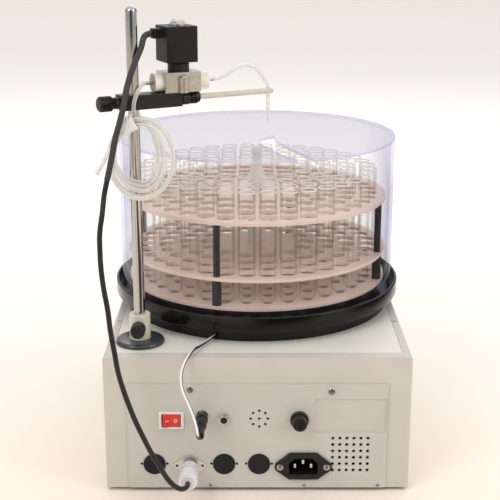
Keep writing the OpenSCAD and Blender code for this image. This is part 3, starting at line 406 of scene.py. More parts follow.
lead_route = [(-36.4, -120.6, 127), (-40, -127, 127), (-45, -135, 126), (-50, -145, 126),
              (-54, -155, 127), (-58, -166, 125), (-61, -172, 121), (-63, -177, 115),
              (-63, -182, 109), (-61, -187, 102), (-57, -194, 96), (-53, -202, 90),
              (-50, -209, 84), (-48, -213, 77), (-47, -210.5, 72), (-47, -204.9, 71)]
feed_route = [(-91.8, -116.5, 346), (-93.6, -117.6, 346.2), (-94.6, -119.8, 346.4), (-94.4, -123, 346.2),
              (-94.4, -127, 345.4), (-95.8, -131.2, 343), (-98, -134.4, 339), (-99.6, -136, 334.5),
              (-100.4, -136, 329.5), (-100.6, -134.4, 325.5), (-100.5, -132.5, 321.8),
              (-100.5, -132.2, 318.6)]
drip_route = [(-37.3, -91, 346), (-33.4, -89.2, 346.4), (-28, -86.2, 348.2), (-22, -81.8, 351.6),
              (-15.5, -76.6, 354.6), (-10, -72.2, 355.4), (-4, -67.6, 353.6), (1, -64.2, 349),
              (5, -62.3, 343.6), (8, -61.2, 338.6), (9.35, -61, 335.6), (9.35, -61, 324),
              (9.35, -61, 305)]
print("route points:", sum(map(len, (sleeve_route, cord_route, lead_route, feed_route, drip_route))))

# %% [markdown]
# ### The spare hose
# The spare silicone hose hangs in a bundle of six turns and a bit. It is one unbroken tube: three inner
# turns that grow from a small first loop, a short climb outwards, and three outer turns that come back
# beside each other. A loop works out its points with the same rules as in the CAD source.

# %% The coil's line
COIL_AT = (-95, -140, 288)
COIL_HALF, COIL_HIGH = 26, 32.5
COIL_FIRST_HALF, COIL_FIRST_HIGH = 10, 20
COIL_TURNS, COIL_INNER, COIL_CLIMB, COIL_START = 6.15, 3, 0.25, 116
COIL_LAYER, COIL_PITCH, COIL_MIDDLE, COIL_STEPS = 4, 3.8, 1.5, 24
COIL_LEAD, TAIL_STEP, TAIL_DRIFT = 3, 9, (0.5, 1.5, 3)


def between(low, high, t):
    return low + (high - low) * t


def coil_point(t):
    angle = math.radians(COIL_START + 360 * t)
    out = min(1, max(0, (t - COIL_INNER) / COIL_CLIMB))
    grown = min(1, t / (COIL_INNER + COIL_CLIMB))
    turn = COIL_INNER + COIL_CLIMB / 2
    side = min(t, turn) if t < COIL_INNER + COIL_CLIMB else turn - (t - COIL_INNER - COIL_CLIMB)
    half, high = COIL_HALF - COIL_LAYER * (1 - out), COIL_HIGH - COIL_LAYER * (1 - out)
    if math.cos(angle) > 0:
        half = between(between(COIL_FIRST_HALF, COIL_HALF - COIL_LAYER, grown), COIL_HALF, out)
    if math.sin(angle) < 0:
        high = between(between(COIL_FIRST_HIGH, COIL_HIGH - COIL_LAYER, grown), COIL_HIGH, out)
    return Vector((COIL_AT[0] + half * math.cos(angle), COIL_AT[1] + COIL_PITCH * (COIL_MIDDLE - side),
                   COIL_AT[2] + high * math.sin(angle)))


coil_line = [coil_point(i / COIL_STEPS) for i in range(int(COIL_TURNS * COIL_STEPS) + 1)]
run_in = (coil_line[1] - coil_line[0]).normalized()
run_out = (coil_line[-1] - coil_line[-2]).normalized()
tail = [coil_line[-1] + run_out * (TAIL_STEP * (i + 1)) - Vector((drift, 0, 0))
        for i, drift in enumerate(TAIL_DRIFT)]
hank_route = feed_route + [coil_line[0] - run_in * COIL_LEAD] + coil_line + tail
print("coil points:", len(coil_line))

# %% [markdown]
# ### Finishes of the cords
# The valve's cord is dark grey PVC with a dull skin, and its upper part is in a thicker woven sleeve. The
# lead of the sensor is glossy black, with a painted highlight: its colour turns white where its skin looks
# toward the key light. The painted highlight is a dot product of the skin's normal with one direction,
# because a mirror of the lamp alone stays too thin at this size. The silicone hose is milky.

# %% Cord finishes
cord_black = finish("cord_black", (0.012, 0.012, 0.013), (0.020, 0.020, 0.021), (0.34, 0.46),
                    grain=2500, bump=0.12, specular=0.35)
sleeve_grey = finish("sleeve_grey", (0.030, 0.031, 0.033), (0.060, 0.060, 0.062), (0.45, 0.6),
                     scale=500, grain=1800, bump=0.35, specular=0.35)
lead_painted_highlight = finish("lead_painted_highlight", (0.80, 0.80, 0.79), (0.90, 0.90, 0.89), (0.2, 0.28), grain=900,
                     bump=0.05, coat=0.2)
PAINTED_HIGHLIGHT_TOWARD, PAINTED_HIGHLIGHT_START, PAINTED_HIGHLIGHT_FULL = (-0.45, -0.6, 0.6), 0.42, 0.6
LEAD_DARK, LEAD_PAINTED_HIGHLIGHT = (0.012, 0.012, 0.012), (0.88, 0.88, 0.87)
# Painted highlight: the lead's colour turns white where its normal faces the key light.
skin = add_node(lead_painted_highlight, "ShaderNodeNewGeometry")
toward_key = reckon(lead_painted_highlight, "DOT_PRODUCT", skin.outputs["Normal"], Vector(PAINTED_HIGHLIGHT_TOWARD).normalized(),
                    kind="ShaderNodeVectorMath")
join(lead_painted_highlight, two_tones(lead_painted_highlight, toward_key, LEAD_DARK, LEAD_PAINTED_HIGHLIGHT, PAINTED_HIGHLIGHT_START, PAINTED_HIGHLIGHT_FULL),
     shader_of(lead_painted_highlight).inputs["Base Color"])
silicone = milky("silicone", (0.92, 0.92, 0.89), clear=0.62, solid=0.04)
print("cord finishes:", cord_black.name, sleeve_grey.name, lead_painted_highlight.name, silicone.name)

# %% [markdown]
# ### The cords in place
# The sleeve runs from the column to the arm, the bare cord from the cabinet to the column, and the drip
# hose from the arm to the rod; these three are set on no body. The lead and the spare hose each hang on
# one body.

# %% Cords
HANK_STEP, DRIP_STEP = 1.4, 1.2
sleeve_line = smooth_line(sleeve_route)
cord_line = smooth_line(cord_route)
lead_line = smooth_line(lead_route)
hank_line = smooth_line(hank_route, HANK_STEP)
drip_line = smooth_line(drip_route, DRIP_STEP)

sleeve = new_object("cord_sleeve_woven", tube_mesh("cord_sleeve_woven", sleeve_line, SLEEVE_D), sleeve_grey)
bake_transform(sleeve)
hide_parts("cord_sleeve")

valve_cord = new_object("valve_cord", tube_mesh("valve_cord", cord_line, CORD_D), cord_black)
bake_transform(valve_cord)
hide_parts("solenoid_cord")

sensor_lead = new_object("sensor_lead_cord", tube_mesh("sensor_lead_cord", lead_line, LEAD_D), lead_painted_highlight,
                         "cabinet")
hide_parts("sensor_lead")

hank = new_object("spare_tube_hank", tube_mesh("spare_tube_hank", hank_line, HOSE_D), silicone, "arm")
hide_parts("tube_coil", "feed_tube")

drip_hose = new_object("drip_hose", tube_mesh("drip_hose", drip_line, HOSE_D), silicone)
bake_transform(drip_hose)
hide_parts("drip_tube")
for piece, line in ((sleeve, sleeve_line), (valve_cord, cord_line), (sensor_lead, lead_line),
                    (hank, hank_line), (drip_hose, drip_line)):
    print(piece.name, "length mm:", round(line_length(line) / MM, 1))

# %% [markdown]
# ## Cabinet
# The cabinet is sheet steel with a fine textured powder coat in a warm light grey. The top plate has the
# same coat, and its colour is painted paler, as painted light from above. The texture is a dense bump of
# about half a millimetre, with a faint large mottle under it.

# %% Cabinet
cabinet_paint = finish("cabinet_paint", (0.60, 0.575, 0.52), (0.64, 0.615, 0.56), (0.42, 0.52),
                       scale=25, grain=1600, bump=0.3, depth=0.00012, specular=0.3)
# Painted light: the top plate's colour is set paler than the case's, for the light falling from above.
plate_paint_painted_light = finish("plate_paint_painted_light", (0.79, 0.77, 0.69), (0.83, 0.81, 0.73), (0.38, 0.48), scale=25,
                     grain=1600, bump=0.3, depth=0.00012, specular=0.3)
panel_paint = finish("panel_paint", (0.57, 0.55, 0.51), (0.61, 0.59, 0.55), (0.42, 0.5), scale=22,
                     grain=1400, bump=0.28, depth=0.00012, specular=0.3)

refined("cabinet_shell", "cabinet_case", cabinet_paint, 0.0006, 3)
refined("top_plate", "cabinet_top", plate_paint_painted_light, 0.0004)
refined("rear_panel", "connector_plate", panel_paint, 0.00025)
refined("front_panel", "operator_plate", panel_paint, 0.0003)
print("cabinet finishes:", cabinet_paint.name, plate_paint_painted_light.name, panel_paint.name)

# %% [markdown]
# ### Keypad
# The operator's side has a membrane keypad: a blue grey foil with raised pale keys and a dark display
# window. It is one moulded piece, so it stays one mesh with three finishes. The faces that look forward
# get theirs by how far they stand out, which needs no list of faces.

# %% Keypad
membrane = finish("membrane", (0.16, 0.20, 0.27), (0.19, 0.23, 0.30), (0.45, 0.55), scale=40,
                  grain=2500, bump=0.15)
key_tops = finish("key_tops", (0.62, 0.64, 0.66), (0.68, 0.70, 0.72), (0.4, 0.5), scale=40, grain=2500,
                  bump=0.15)
display = finish("display", (0.02, 0.03, 0.025), (0.035, 0.045, 0.04), (0.12, 0.2), scale=40, bump=0.02)
FORWARD, KEY_DEPTH, DISPLAY_DEPTH = 0.9, 0.1 * MM, 0.4 * MM


def box_of(points):
    """The lowest and the highest corner of the box round some points."""
    low = Vector([min(p[i] for p in points) for i in range(3)])
    return low, Vector([max(p[i] for p in points) for i in range(3)])


keypad = refined("keypad", "operator_membrane", membrane, 0)
keypad.data.materials.append(key_tops)
keypad.data.materials.append(display)
low, high = box_of([v.co for v in keypad.data.vertices])
for face in keypad.data.polygons:
    if face.normal.y > FORWARD and face.center.y > high.y - KEY_DEPTH:
        face.material_index = 1
    elif face.normal.y > FORWARD and face.center.y > high.y - DISPLAY_DEPTH:
        face.material_index = 2
print("key faces:", sum(face.material_index == 1 for face in keypad.data.polygons))

# %% [markdown]
# ### Pan, feet and screws
# The floor of the cabinet is a pan of bare sheet steel on four rubber feet, and dull nickel screws hold
# the case together.

# %% Pan, feet and screws
pan_steel = finish("pan_steel", (0.52, 0.52, 0.51), (0.62, 0.62, 0.60), (0.32, 0.45), metal=1.0,
                   scale=60, grain=900, bump=0.1)
foot_rubber = finish("foot_rubber", (0.015, 0.015, 0.015), (0.03, 0.03, 0.03), (0.7, 0.85), bump=0.3)
screw_metal = finish("screw_metal", (0.42, 0.40, 0.36), (0.55, 0.53, 0.48), (0.25, 0.4), metal=1.0,
                     scale=900)

refined("base_pan", "base_tray", pan_steel, 0.0004)
refined("feet", "rubber_feet", foot_rubber, 0.0006, 3)
refined("case_screws", "case_fixings", screw_metal, 0.0001)
print("case screws, faces:", len(nodes["case_screws"].data.polygons))

# %% [markdown]
# ## Connectors
# The switch, the fuse cap and the inlet are injection mouldings with a soft satin skin: white round the
# red rocker, otherwise black. The jack sockets and the socket of the valve's cord are nickel plated, and
# the inlet's blades are tinned. The plug of the valve's cord is a milky moulding.

# %% Connectors
white_mould = finish("white_mould", (0.80, 0.79, 0.75), (0.86, 0.85, 0.82), (0.28, 0.38), scale=90,
                     grain=1200, bump=0.06)
red_mould = finish("red_mould", (0.62, 0.02, 0.015), (0.72, 0.04, 0.02), (0.2, 0.3), scale=120,
                   grain=900, bump=0.04, coat=0.3)
black_mould = finish("black_mould", (0.008, 0.008, 0.008), (0.014, 0.014, 0.014), (0.26, 0.4),
                     scale=200, grain=2200, bump=0.15, specular=0.3)
black_flat = finish("black_flat", (0.012, 0.012, 0.013), (0.020, 0.020, 0.021), (0.55, 0.7), scale=200,
                    grain=2400, bump=0.25, specular=0.2)
plug_milky = milky("plug_milky", (0.88, 0.89, 0.93), clear=0.3, solid=0.02, rough=0.22)
nickel_plate = finish("nickel_plate", (0.60, 0.58, 0.54), (0.72, 0.70, 0.66), (0.16, 0.3), metal=1.0,
                      scale=400, grain=2500, bump=0.08)
tinned = finish("tinned", (0.66, 0.66, 0.65), (0.78, 0.78, 0.76), (0.2, 0.35), metal=1.0, scale=500)

refined("rocker_bezel", "switch_frame", white_mould, 0.0003)
refined("rocker", "switch_rocker", red_mould, 0.0003)
refined("fuse_holder", "fuse_collar", black_mould, 0.0002)
refined("fuse_cap", "fuse_turn_cap", black_mould, 0.0002)
refined("mains_inlet", "inlet_housing", black_mould, 0.0003)
refined("inlet_pins", "inlet_blades", tinned, 0.0002)
refined("buzzer", "buzzer_can", black_flat, 0.0003)
refined("jack_sockets", "jack_nickel", nickel_plate, 0.0002)
refined("cord_socket", "plug_socket", nickel_plate, 0.0002)
refined("blank_covers", "hole_covers", black_flat, 0.0002)
jack_body = refined("jack_plug", "jack_handle", black_mould, 0.0002)
plug_body = refined("cord_plug", "valve_plug", plug_milky, 0.0003)
print("connector finishes:", white_mould.name, red_mould.name, black_mould.name, nickel_plate.name)

# %% [markdown]
# ## Thin details
# A printed mark, or the painted shade of a screw's recess, is thinner than CAD needs. Each is a flat
# outline that is raised by an extrusion and laid on the skin of its node. A ray from the photographed side
# finds the place and the normal there, so a detail sits right even where the skin is tilted, as on the
# rocker.

# %% Plates, rings and the skin that is seen
BEFORE_IT_ALL = -1.0


def outline_plate(bm, outline, thick, to_face):
    """A thin plate from a flat outline, put in place by a matrix."""
    base = bm.faces.new([bm.verts.new((x, y, 0)) for x, y in outline])
    raised = bmesh.ops.extrude_face_region(bm, geom=[base])["geom"]
    tops = [item for item in raised if isinstance(item, bmesh.types.BMVert)]
    bmesh.ops.translate(bm, verts=tops, vec=(0, 0, thick))
    bmesh.ops.transform(bm, matrix=to_face, verts=list(base.verts) + tops)


def flat_ring(bm, inner, outer, thick, to_face, around=24):
    """A thin ring: two circles joined by a bridge and raised."""
    loops = []
    for radius in (inner, outer):
        ring = bmesh.ops.create_circle(bm, cap_ends=False, segments=around, radius=radius)["verts"]
        loops += list({edge for vert in ring for edge in vert.link_edges})
    flat = bmesh.ops.bridge_loops(bm, edges=loops)["faces"]
    corners = list({vert for face in flat for vert in face.verts})
    raised = bmesh.ops.extrude_face_region(bm, geom=flat)["geom"]
    tops = [item for item in raised if isinstance(item, bmesh.types.BMVert)]
    bmesh.ops.translate(bm, verts=tops, vec=(0, 0, thick))
    bmesh.ops.transform(bm, matrix=to_face, verts=corners + tops)


def seen_face(node, x, z):
    """A matrix whose Z axis stands on the node's skin, where a ray from the photographed side meets it."""
    mesh = nodes[node].data
    tree = BVHTree.FromPolygons([v.co for v in mesh.vertices], [p.vertices for p in mesh.polygons])
    place, normal, _, _ = tree.ray_cast(Vector((x, BEFORE_IT_ALL, z)), Vector((0, 1, 0)))
    turned = normal.to_track_quat("Z", "Y").to_matrix().to_4x4()
    turned.translation = place
    return turned


print("rays start at Y =", BEFORE_IT_ALL, "m")

# %% [markdown]
# ### Marks of the rocker
# Every rocker switch has a line for on and a ring for off, printed white on its two halves. They are thin
# pieces of their own and tilt with the rocker.

# %% Marks of the rocker
mark_white = finish("mark_white", (0.86, 0.86, 0.84), (0.90, 0.90, 0.88), (0.4, 0.5))
THIN = 0.06 * MM
BAR_X, BAR_Z, RING_IN, RING_OUT = 1.6 * MM, 0.25 * MM, 1.0 * MM, 1.5 * MM
BAR_PLACE, RING_PLACE = 0.9, 0.95

low, high = box_of([v.co for v in nodes["rocker"].data.vertices])
middle, quarter = (low + high) / 2, (high.x - low.x) / 4
marks = bmesh.new()
outline_plate(marks, [(-BAR_X, -BAR_Z), (BAR_X, -BAR_Z), (BAR_X, BAR_Z), (-BAR_X, BAR_Z)], THIN,
              seen_face("rocker", middle.x - BAR_PLACE * quarter, middle.z))
flat_ring(marks, RING_IN, RING_OUT, THIN, seen_face("rocker", middle.x + RING_PLACE * quarter, middle.z))
new_object("rocker_marks", to_mesh(marks, "rocker_marks"), mark_white, nodes["rocker"]["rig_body"])
print("rocker, mm wide:", round((high.x - low.x) / MM, 1))

# %% [markdown]
# ### Painted shade of the screw recesses
# The connector panel is held by cross head screws, and the two larger ones above have a ring turned into
# their heads. The recesses are not cut: each cross and ring is a thin dark plate on the head, painted
# shade where the hollow is. All screws are one CAD node, so the loose parts of its mesh say where each
# screw is.

# %% Painted shade of the screw recesses
recess_painted_shade = finish("recess_painted_shade", (0.03, 0.03, 0.03), (0.05, 0.05, 0.05), (0.4, 0.5), specular=0.2)
CONNECTOR_SIDE, LARGE_SCREWS_FROM = -150 * MM, 80 * MM
CROSS_REACH, CROSS_HALF, TURNED_IN, TURNED_OUT = 0.55, 0.12, 0.66, 0.84


def loose_parts(mesh):
    """The corners of each separate solid in a mesh."""
    bm = bmesh.new()
    bm.from_mesh(mesh)
    bmesh.ops.remove_doubles(bm, verts=bm.verts, dist=WELD)
    left, parts = set(bm.verts), []
    while left:
        grow, part = [left.pop()], []
        while grow:
            vert = grow.pop()
            part.append(vert.co.copy())
            for edge in vert.link_edges:
                other = edge.other_vert(vert)
                if other in left:
                    left.remove(other)
                    grow.append(other)
        parts.append(part)
    bm.free()
    return parts


def cross(reach, half):
    """The twelve corners of a cross."""
    return [(-half, reach), (-half, half), (-reach, half), (-reach, -half), (-half, -half), (-half, -reach),
            (half, -reach), (half, -half), (reach, -half), (reach, half), (half, half), (half, reach)]


# Painted shade: each recess is a thin dark plate on the screw head, not a hollow.
recess_shade = bmesh.new()
count = 0
for low, high in map(box_of, loose_parts(nodes["case_screws"].data)):
    middle, radius = (low + high) / 2, (high.x - low.x) / 2
    if middle.y < CONNECTOR_SIDE:
        spot = seen_face("case_screws", middle.x, middle.z)
        outline_plate(recess_shade, cross(CROSS_REACH * radius, CROSS_HALF * radius), THIN, spot)
        if middle.z > LARGE_SCREWS_FROM:
            flat_ring(recess_shade, TURNED_IN * radius, TURNED_OUT * radius, THIN, spot)
        count += 1
new_object("screw_recess_painted_shade", to_mesh(recess_shade, "screw_recess_painted_shade"), recess_painted_shade, "cabinet")
print("screw recesses:", count)

# %% [markdown]
# ### Insert of the free jack
# The free jack socket is a nickel nut round a black insert with a hole. The nut's face gives the insert
# its direction, and the insert starts half a millimetre behind that face.

# %% Insert of the free jack
INSERT_HOLE, INSERT_R, INSERT_THICK, INSERT_DEEP = 1.0 * MM, 3.1 * MM, 0.4 * MM, 0.5 * MM
INSERT_ROUND, ON_THE_NUT = 32, 3.6 * MM

free_jack = max(map(box_of, loose_parts(nodes["jack_sockets"].data)), key=lambda box: box[0].x)
middle = (free_jack[0] + free_jack[1]) / 2
insert = bmesh.new()
spot = seen_face("jack_sockets", middle.x + ON_THE_NUT, middle.z)
spot.translation = (middle.x, free_jack[0].y + INSERT_DEEP, middle.z)
flat_ring(insert, INSERT_HOLE, INSERT_R, INSERT_THICK, spot, INSERT_ROUND)
new_object("jack_insert", to_mesh(insert, "jack_insert"), black_mould, "cabinet")
print("jack insert at X, mm:", round(middle.x / MM, 1))

# %% [markdown]
# ## Inside the cabinet
# None of this shows from outside, but the pieces are there and are finished for what they are: a lacquered
# transformer, a green board, two black gear motors, bronze pinions, white acetal gears and a ground
# spindle.

# %% Inside the cabinet
lacquered_iron = finish("lacquered_iron", (0.14, 0.12, 0.10), (0.22, 0.19, 0.16), (0.35, 0.5),
                        scale=200)
green_board = finish("green_board", (0.02, 0.12, 0.05), (0.03, 0.17, 0.07), (0.3, 0.4), scale=180,
                     coat=0.3)
motor_black = finish("motor_black", (0.03, 0.03, 0.03), (0.06, 0.06, 0.06), (0.4, 0.55), scale=160)
sintered_bronze = finish("sintered_bronze", (0.42, 0.28, 0.12), (0.55, 0.38, 0.18), (0.35, 0.5),
                         metal=1.0)
gear_acetal = finish("gear_acetal", (0.76, 0.74, 0.68), (0.82, 0.80, 0.75), (0.35, 0.45))
ground_steel = finish("ground_steel", (0.60, 0.60, 0.59), (0.72, 0.72, 0.70), (0.15, 0.28), metal=1.0)

refined("transformer", "supply_transformer", lacquered_iron, 0.0004)
refined("main_board", "control_board", green_board, 0)
refined("gear_motors", "drive_motors", motor_black, 0.0004)
refined("motor_pinion", "carousel_pinion", sintered_bronze, 0)
refined("swing_pinion", "arm_drive_pinion", sintered_bronze, 0)
refined("spindle_gear", "carousel_gear", gear_acetal, 0)
refined("swing_gear", "arm_gear", gear_acetal, 0)
refined("spindle", "carousel_spindle", ground_steel, 0.0003)
refined("spindle_bearing", "carousel_bearing", sintered_bronze, 0.0003)
print("inside finishes:", lacquered_iron.name, green_board.name, gear_acetal.name, sintered_bronze.name)

# %% [markdown]
# ## Ribs of a knob
# A knob has straight ribs so that fingers can turn it. They could be cut by a boolean, but that leaves long
# thin faces. Adding them is cleaner: one small trapezium is extruded along the knob's axis, and a loop
# sets it round the knob, half sunk in its skin.

# %% Ribs of a knob
RIB_HALF, RIB_TOP, RIB_HIGH = 0.42 * MM, 0.22 * MM, 0.28 * MM
UP = Vector((0, 0, 1))


def grip_ribs(name, start, axis, radius, length, count, body):
    """Ribs round a knob, each a small trapezium drawn out along the knob's axis."""
    bm = bmesh.new()
    trapezium = [(-RIB_HALF, -RIB_HIGH), (RIB_HALF, -RIB_HIGH), (RIB_TOP, RIB_HIGH), (-RIB_TOP, RIB_HIGH)]
    for i in range(count):
        turn = 2 * math.pi * i / count
        out = math.cos(turn) * UP + math.sin(turn) * UP.cross(axis)
        place = Matrix((out.cross(axis), out, axis)).transposed().to_4x4()
        place.translation = start + radius * out
        outline_plate(bm, trapezium, length, place)
    new_object(name, to_mesh(bm, name), black_mould, body)


print("rib height, mm:", RIB_HIGH / MM)

# %% [markdown]
# ## Column and its foot
# The column is polished stainless tube. It was ground along its length, so the grain is stretched along
# Z and the reflections turn into the long dark and bright bands of the photograph. Its foot is dark glossy
# moulding, and the collar above it is cream. A ribbed knob in the collar sets the column's height.

# %% Column and foot
polished_column = finish("polished_column", (0.46, 0.46, 0.45), (0.54, 0.54, 0.53), (0.06, 0.12),
                         metal=1.0, scale=260, grain=2200, bump=0.03, stretch=(1, 1, 0.04))
slate_gloss = finish("slate_gloss", (0.035, 0.040, 0.048), (0.055, 0.060, 0.070), (0.14, 0.24),
                     scale=60, grain=700, bump=0.05, coat=0.15)
cream_mould = finish("cream_mould", (0.66, 0.62, 0.50), (0.74, 0.70, 0.58), (0.35, 0.48), scale=120)
KNOB_RIBS = 24
HEIGHT_KNOB_RIM, HEIGHT_KNOB_LONG = 1.1 * MM, 10 * MM

refined("column", "column_tube", polished_column, 0)
refined("column_boss", "column_collar", cream_mould, 0.0005, 3)
refined("column_flange", "column_foot", slate_gloss, 0.0003)
refined("thumb_screw", "height_knob", black_mould, 0.0003)
low, high = box_of([v.co for v in nodes["thumb_screw"].data.vertices])
knob_end = Vector(((low.x + high.x) / 2, low.y + HEIGHT_KNOB_RIM, (low.z + high.z) / 2))
grip_ribs("height_knob_ribs", knob_end, Vector((0, 1, 0)), (high.x - low.x) / 2, HEIGHT_KNOB_LONG,
          KNOB_RIBS, nodes["thumb_screw"]["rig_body"])
print("height knob, mm across:", round((high.x - low.x) / MM, 1))

# %% [markdown]
# ## Arm
# The arm is black anodised aluminium, matt from blasting. Its clamp knob and the nut that holds the drip
# rod are black mouldings with ribs, and the rod is cream plastic. The arm is turned about the column at
# rest, so the ribs are set along the arm's own axis, measured from the column's middle.

# %% Arm
anodised_black = finish("anodised_black", (0.009, 0.009, 0.010), (0.018, 0.018, 0.019), (0.3, 0.42),
                        scale=400, grain=3000, bump=0.2, specular=0.3)
cream_rod = finish("cream_rod", (0.62, 0.59, 0.51), (0.72, 0.69, 0.61), (0.3, 0.42), scale=200)
ARM_HEADING = 30
CLAMP_START, CLAMP_LONG, CLAMP_R = 20.2 * MM, 9.6 * MM, 6 * MM
NUT_STARTS, NUT_LONG, NUT_R, NUT_RIBS = (51.3 * MM, 54.9 * MM), 2.6 * MM, 5.3 * MM, 20


def level_axis(heading):
    """The level direction that is turned by a heading, in degrees, from +X."""
    return Vector((math.cos(math.radians(heading)), math.sin(math.radians(heading)), 0))


arm_axis = level_axis(ARM_HEADING)
low, high = box_of([v.co for v in nodes["column"].data.vertices])
knob_low, knob_high = box_of([v.co for v in nodes["clamp_knob"].data.vertices])
on_column = Vector(((low.x + high.x) / 2, (low.y + high.y) / 2, (knob_low.z + knob_high.z) / 2))
grip_ribs("clamp_knob_ribs", on_column - CLAMP_START * arm_axis, -arm_axis, CLAMP_R, CLAMP_LONG,
          KNOB_RIBS, nodes["clamp_knob"]["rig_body"])
for i, start in enumerate(NUT_STARTS):
    grip_ribs("rod_nut_ribs_%d" % (i + 1), on_column + start * arm_axis, arm_axis, NUT_R, NUT_LONG,
              NUT_RIBS, nodes["collet_nut"]["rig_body"])
refined("arm_bar", "arm_beam", anodised_black, 0.0004)
refined("clamp_knob", "arm_clamp_knob", black_mould, 0.0003)
refined("collet_nut", "rod_nut", black_mould, 0.0003)
refined("rod", "drip_rod_bar", cream_rod, 0.0002)
print("arm heading, degrees:", ARM_HEADING)

# %% [markdown]
# ## Valve
# The valve has a nickel plated body, a black stem and a black moulded coil with a zinc nut. The body and
# the coil get a wider bevel than the rest, because their rounded edges show from afar.

# %% Valve
coil_mould = finish("coil_mould", (0.007, 0.007, 0.007), (0.014, 0.014, 0.014), (0.38, 0.52), scale=250,
                    grain=2600, bump=0.3, specular=0.25)
body_nickel = finish("body_nickel", (0.44, 0.42, 0.37), (0.56, 0.54, 0.48), (0.2, 0.32), metal=1.0,
                     scale=350, grain=2000, bump=0.15)
zinc = finish("zinc", (0.58, 0.58, 0.56), (0.72, 0.72, 0.70), (0.22, 0.36), metal=1.0, scale=420)

refined("valve_body", "valve_block", body_nickel, 0.0006, 3)
refined("valve_stem", "valve_tube", anodised_black, 0.0004)
refined("valve_coil", "valve_coil_case", coil_mould, 0.0006, 3)
refined("valve_nut", "valve_top_nut", zinc, 0.0002)
print("valve finishes:", body_nickel.name, coil_mould.name, zinc.name)

# %% [markdown]
# ### Ports of the valve
# The ports are white plastic with nickel barbs for the hoses, and the outer face on the column's side is
# brown. They are one node in the CAD, so each face gets its finish by where it lies: a barb's faces are all
# close to the ports' common axis, and the brown face looks along it.

# %% Ports of the valve
port_white = finish("port_white", (0.84, 0.82, 0.74), (0.90, 0.88, 0.81), (0.26, 0.36), scale=90,
                    grain=1200, bump=0.05)
port_brown = finish("port_brown", (0.42, 0.33, 0.29), (0.52, 0.42, 0.37), (0.35, 0.45), scale=200,
                    grain=1500, bump=0.08)
barb_nickel = finish("barb_nickel", (0.50, 0.48, 0.44), (0.62, 0.60, 0.56), (0.18, 0.3), metal=1.0,
                     scale=500)
VALVE_HEADING = 25
PORT_HEIGHT, BARB_REACH, END_FACE = 7.9 * MM, 1.7 * MM, -0.9

ports = refined("valve_fittings", "valve_ports", port_white, 0)
ports.data.materials.append(port_brown)
ports.data.materials.append(barb_nickel)
valve_axis = level_axis(VALVE_HEADING)
low, high = box_of([v.co for v in nodes["valve_body"].data.vertices])
port_centre = Vector(((low.x + high.x) / 2, (low.y + high.y) / 2, low.z + PORT_HEIGHT))
for face in ports.data.polygons:
    away = [ports.data.vertices[i].co - port_centre for i in face.vertices]
    across = max((point - point.dot(valve_axis) * valve_axis).length for point in away)
    if across < BARB_REACH:
        face.material_index = 2
    elif face.normal.dot(valve_axis) < END_FACE and away[0].dot(valve_axis) < 0:
        face.material_index = 1
print("barb faces:", sum(face.material_index == 2 for face in ports.data.polygons))

# %% [markdown]
# ### Core, spring and tie
# A steel core and its return spring are hidden in the stem. The spring's CAD mesh is fine enough to stay,
# so it only gets a finish. A milky tie holds the spare hose together.

# %% Core, spring and tie
refined("valve_plunger", "valve_core", ground_steel, 0.0003)
for slot in nodes["valve_spring"].material_slots:
    slot.material = ground_steel
tie_milky = milky("tie_milky", (0.96, 0.96, 0.95), clear=0.12, solid=0.02)
refined("tube_tie", "tube_wrap", tie_milky, 0.0003)
print("spring faces:", len(nodes["valve_spring"].data.polygons))

# %% [markdown]
# ## Tray, discs and hub
# The tray is glossy black plastic. The discs are cut from a pinkish beige sheet with a satin skin, and
# black posts hold them apart. The hub's handle is a paler beige moulding.

# %% Tray, discs and hub
black_gloss = finish("black_gloss", (0.003, 0.003, 0.004), (0.005, 0.005, 0.006), (0.12, 0.2), scale=40,
                     grain=600, bump=0.04, specular=0.3)
disc_beige = finish("disc_beige", (0.78, 0.61, 0.53), (0.83, 0.66, 0.58), (0.36, 0.48), scale=30,
                    grain=1800, bump=0.08, specular=0.3)
hub_beige = finish("hub_beige", (0.78, 0.74, 0.68), (0.83, 0.79, 0.73), (0.3, 0.4), scale=70)

refined("tray", "tray_ring", black_gloss, 0.0004, 3)
refined("tube_discs", "carousel_discs", disc_beige, 0.0003)
refined("posts", "disc_posts", black_mould, 0.0003)
refined("hub", "hub_handle", hub_beige, 0.0005, 3)
print("carousel finishes:", black_gloss.name, disc_beige.name, hub_beige.name)

# %% [markdown]
# ## Clear walls
# The guard is clear acrylic, and the tubes are thin glass. Such walls hardly bend light, so a refracting
# glass would only add noise and dark edges. Instead the surface lets light straight through and mirrors a
# little, more at grazing angles, which the power of a Layer Weight node gives. A tint shows where the line
# of sight runs along the wall. A thin haze of diffuse colour stands for dust and wear, and a strong one on
# the rims of the tubes is a painted highlight.

# %% A clear wall
HAZE_SCALE, HAZE_DETAIL, HAZE_VARIES, MIRROR_TINT = 12, 3.0, 0.3, (0.95, 0.95, 0.95, 1)


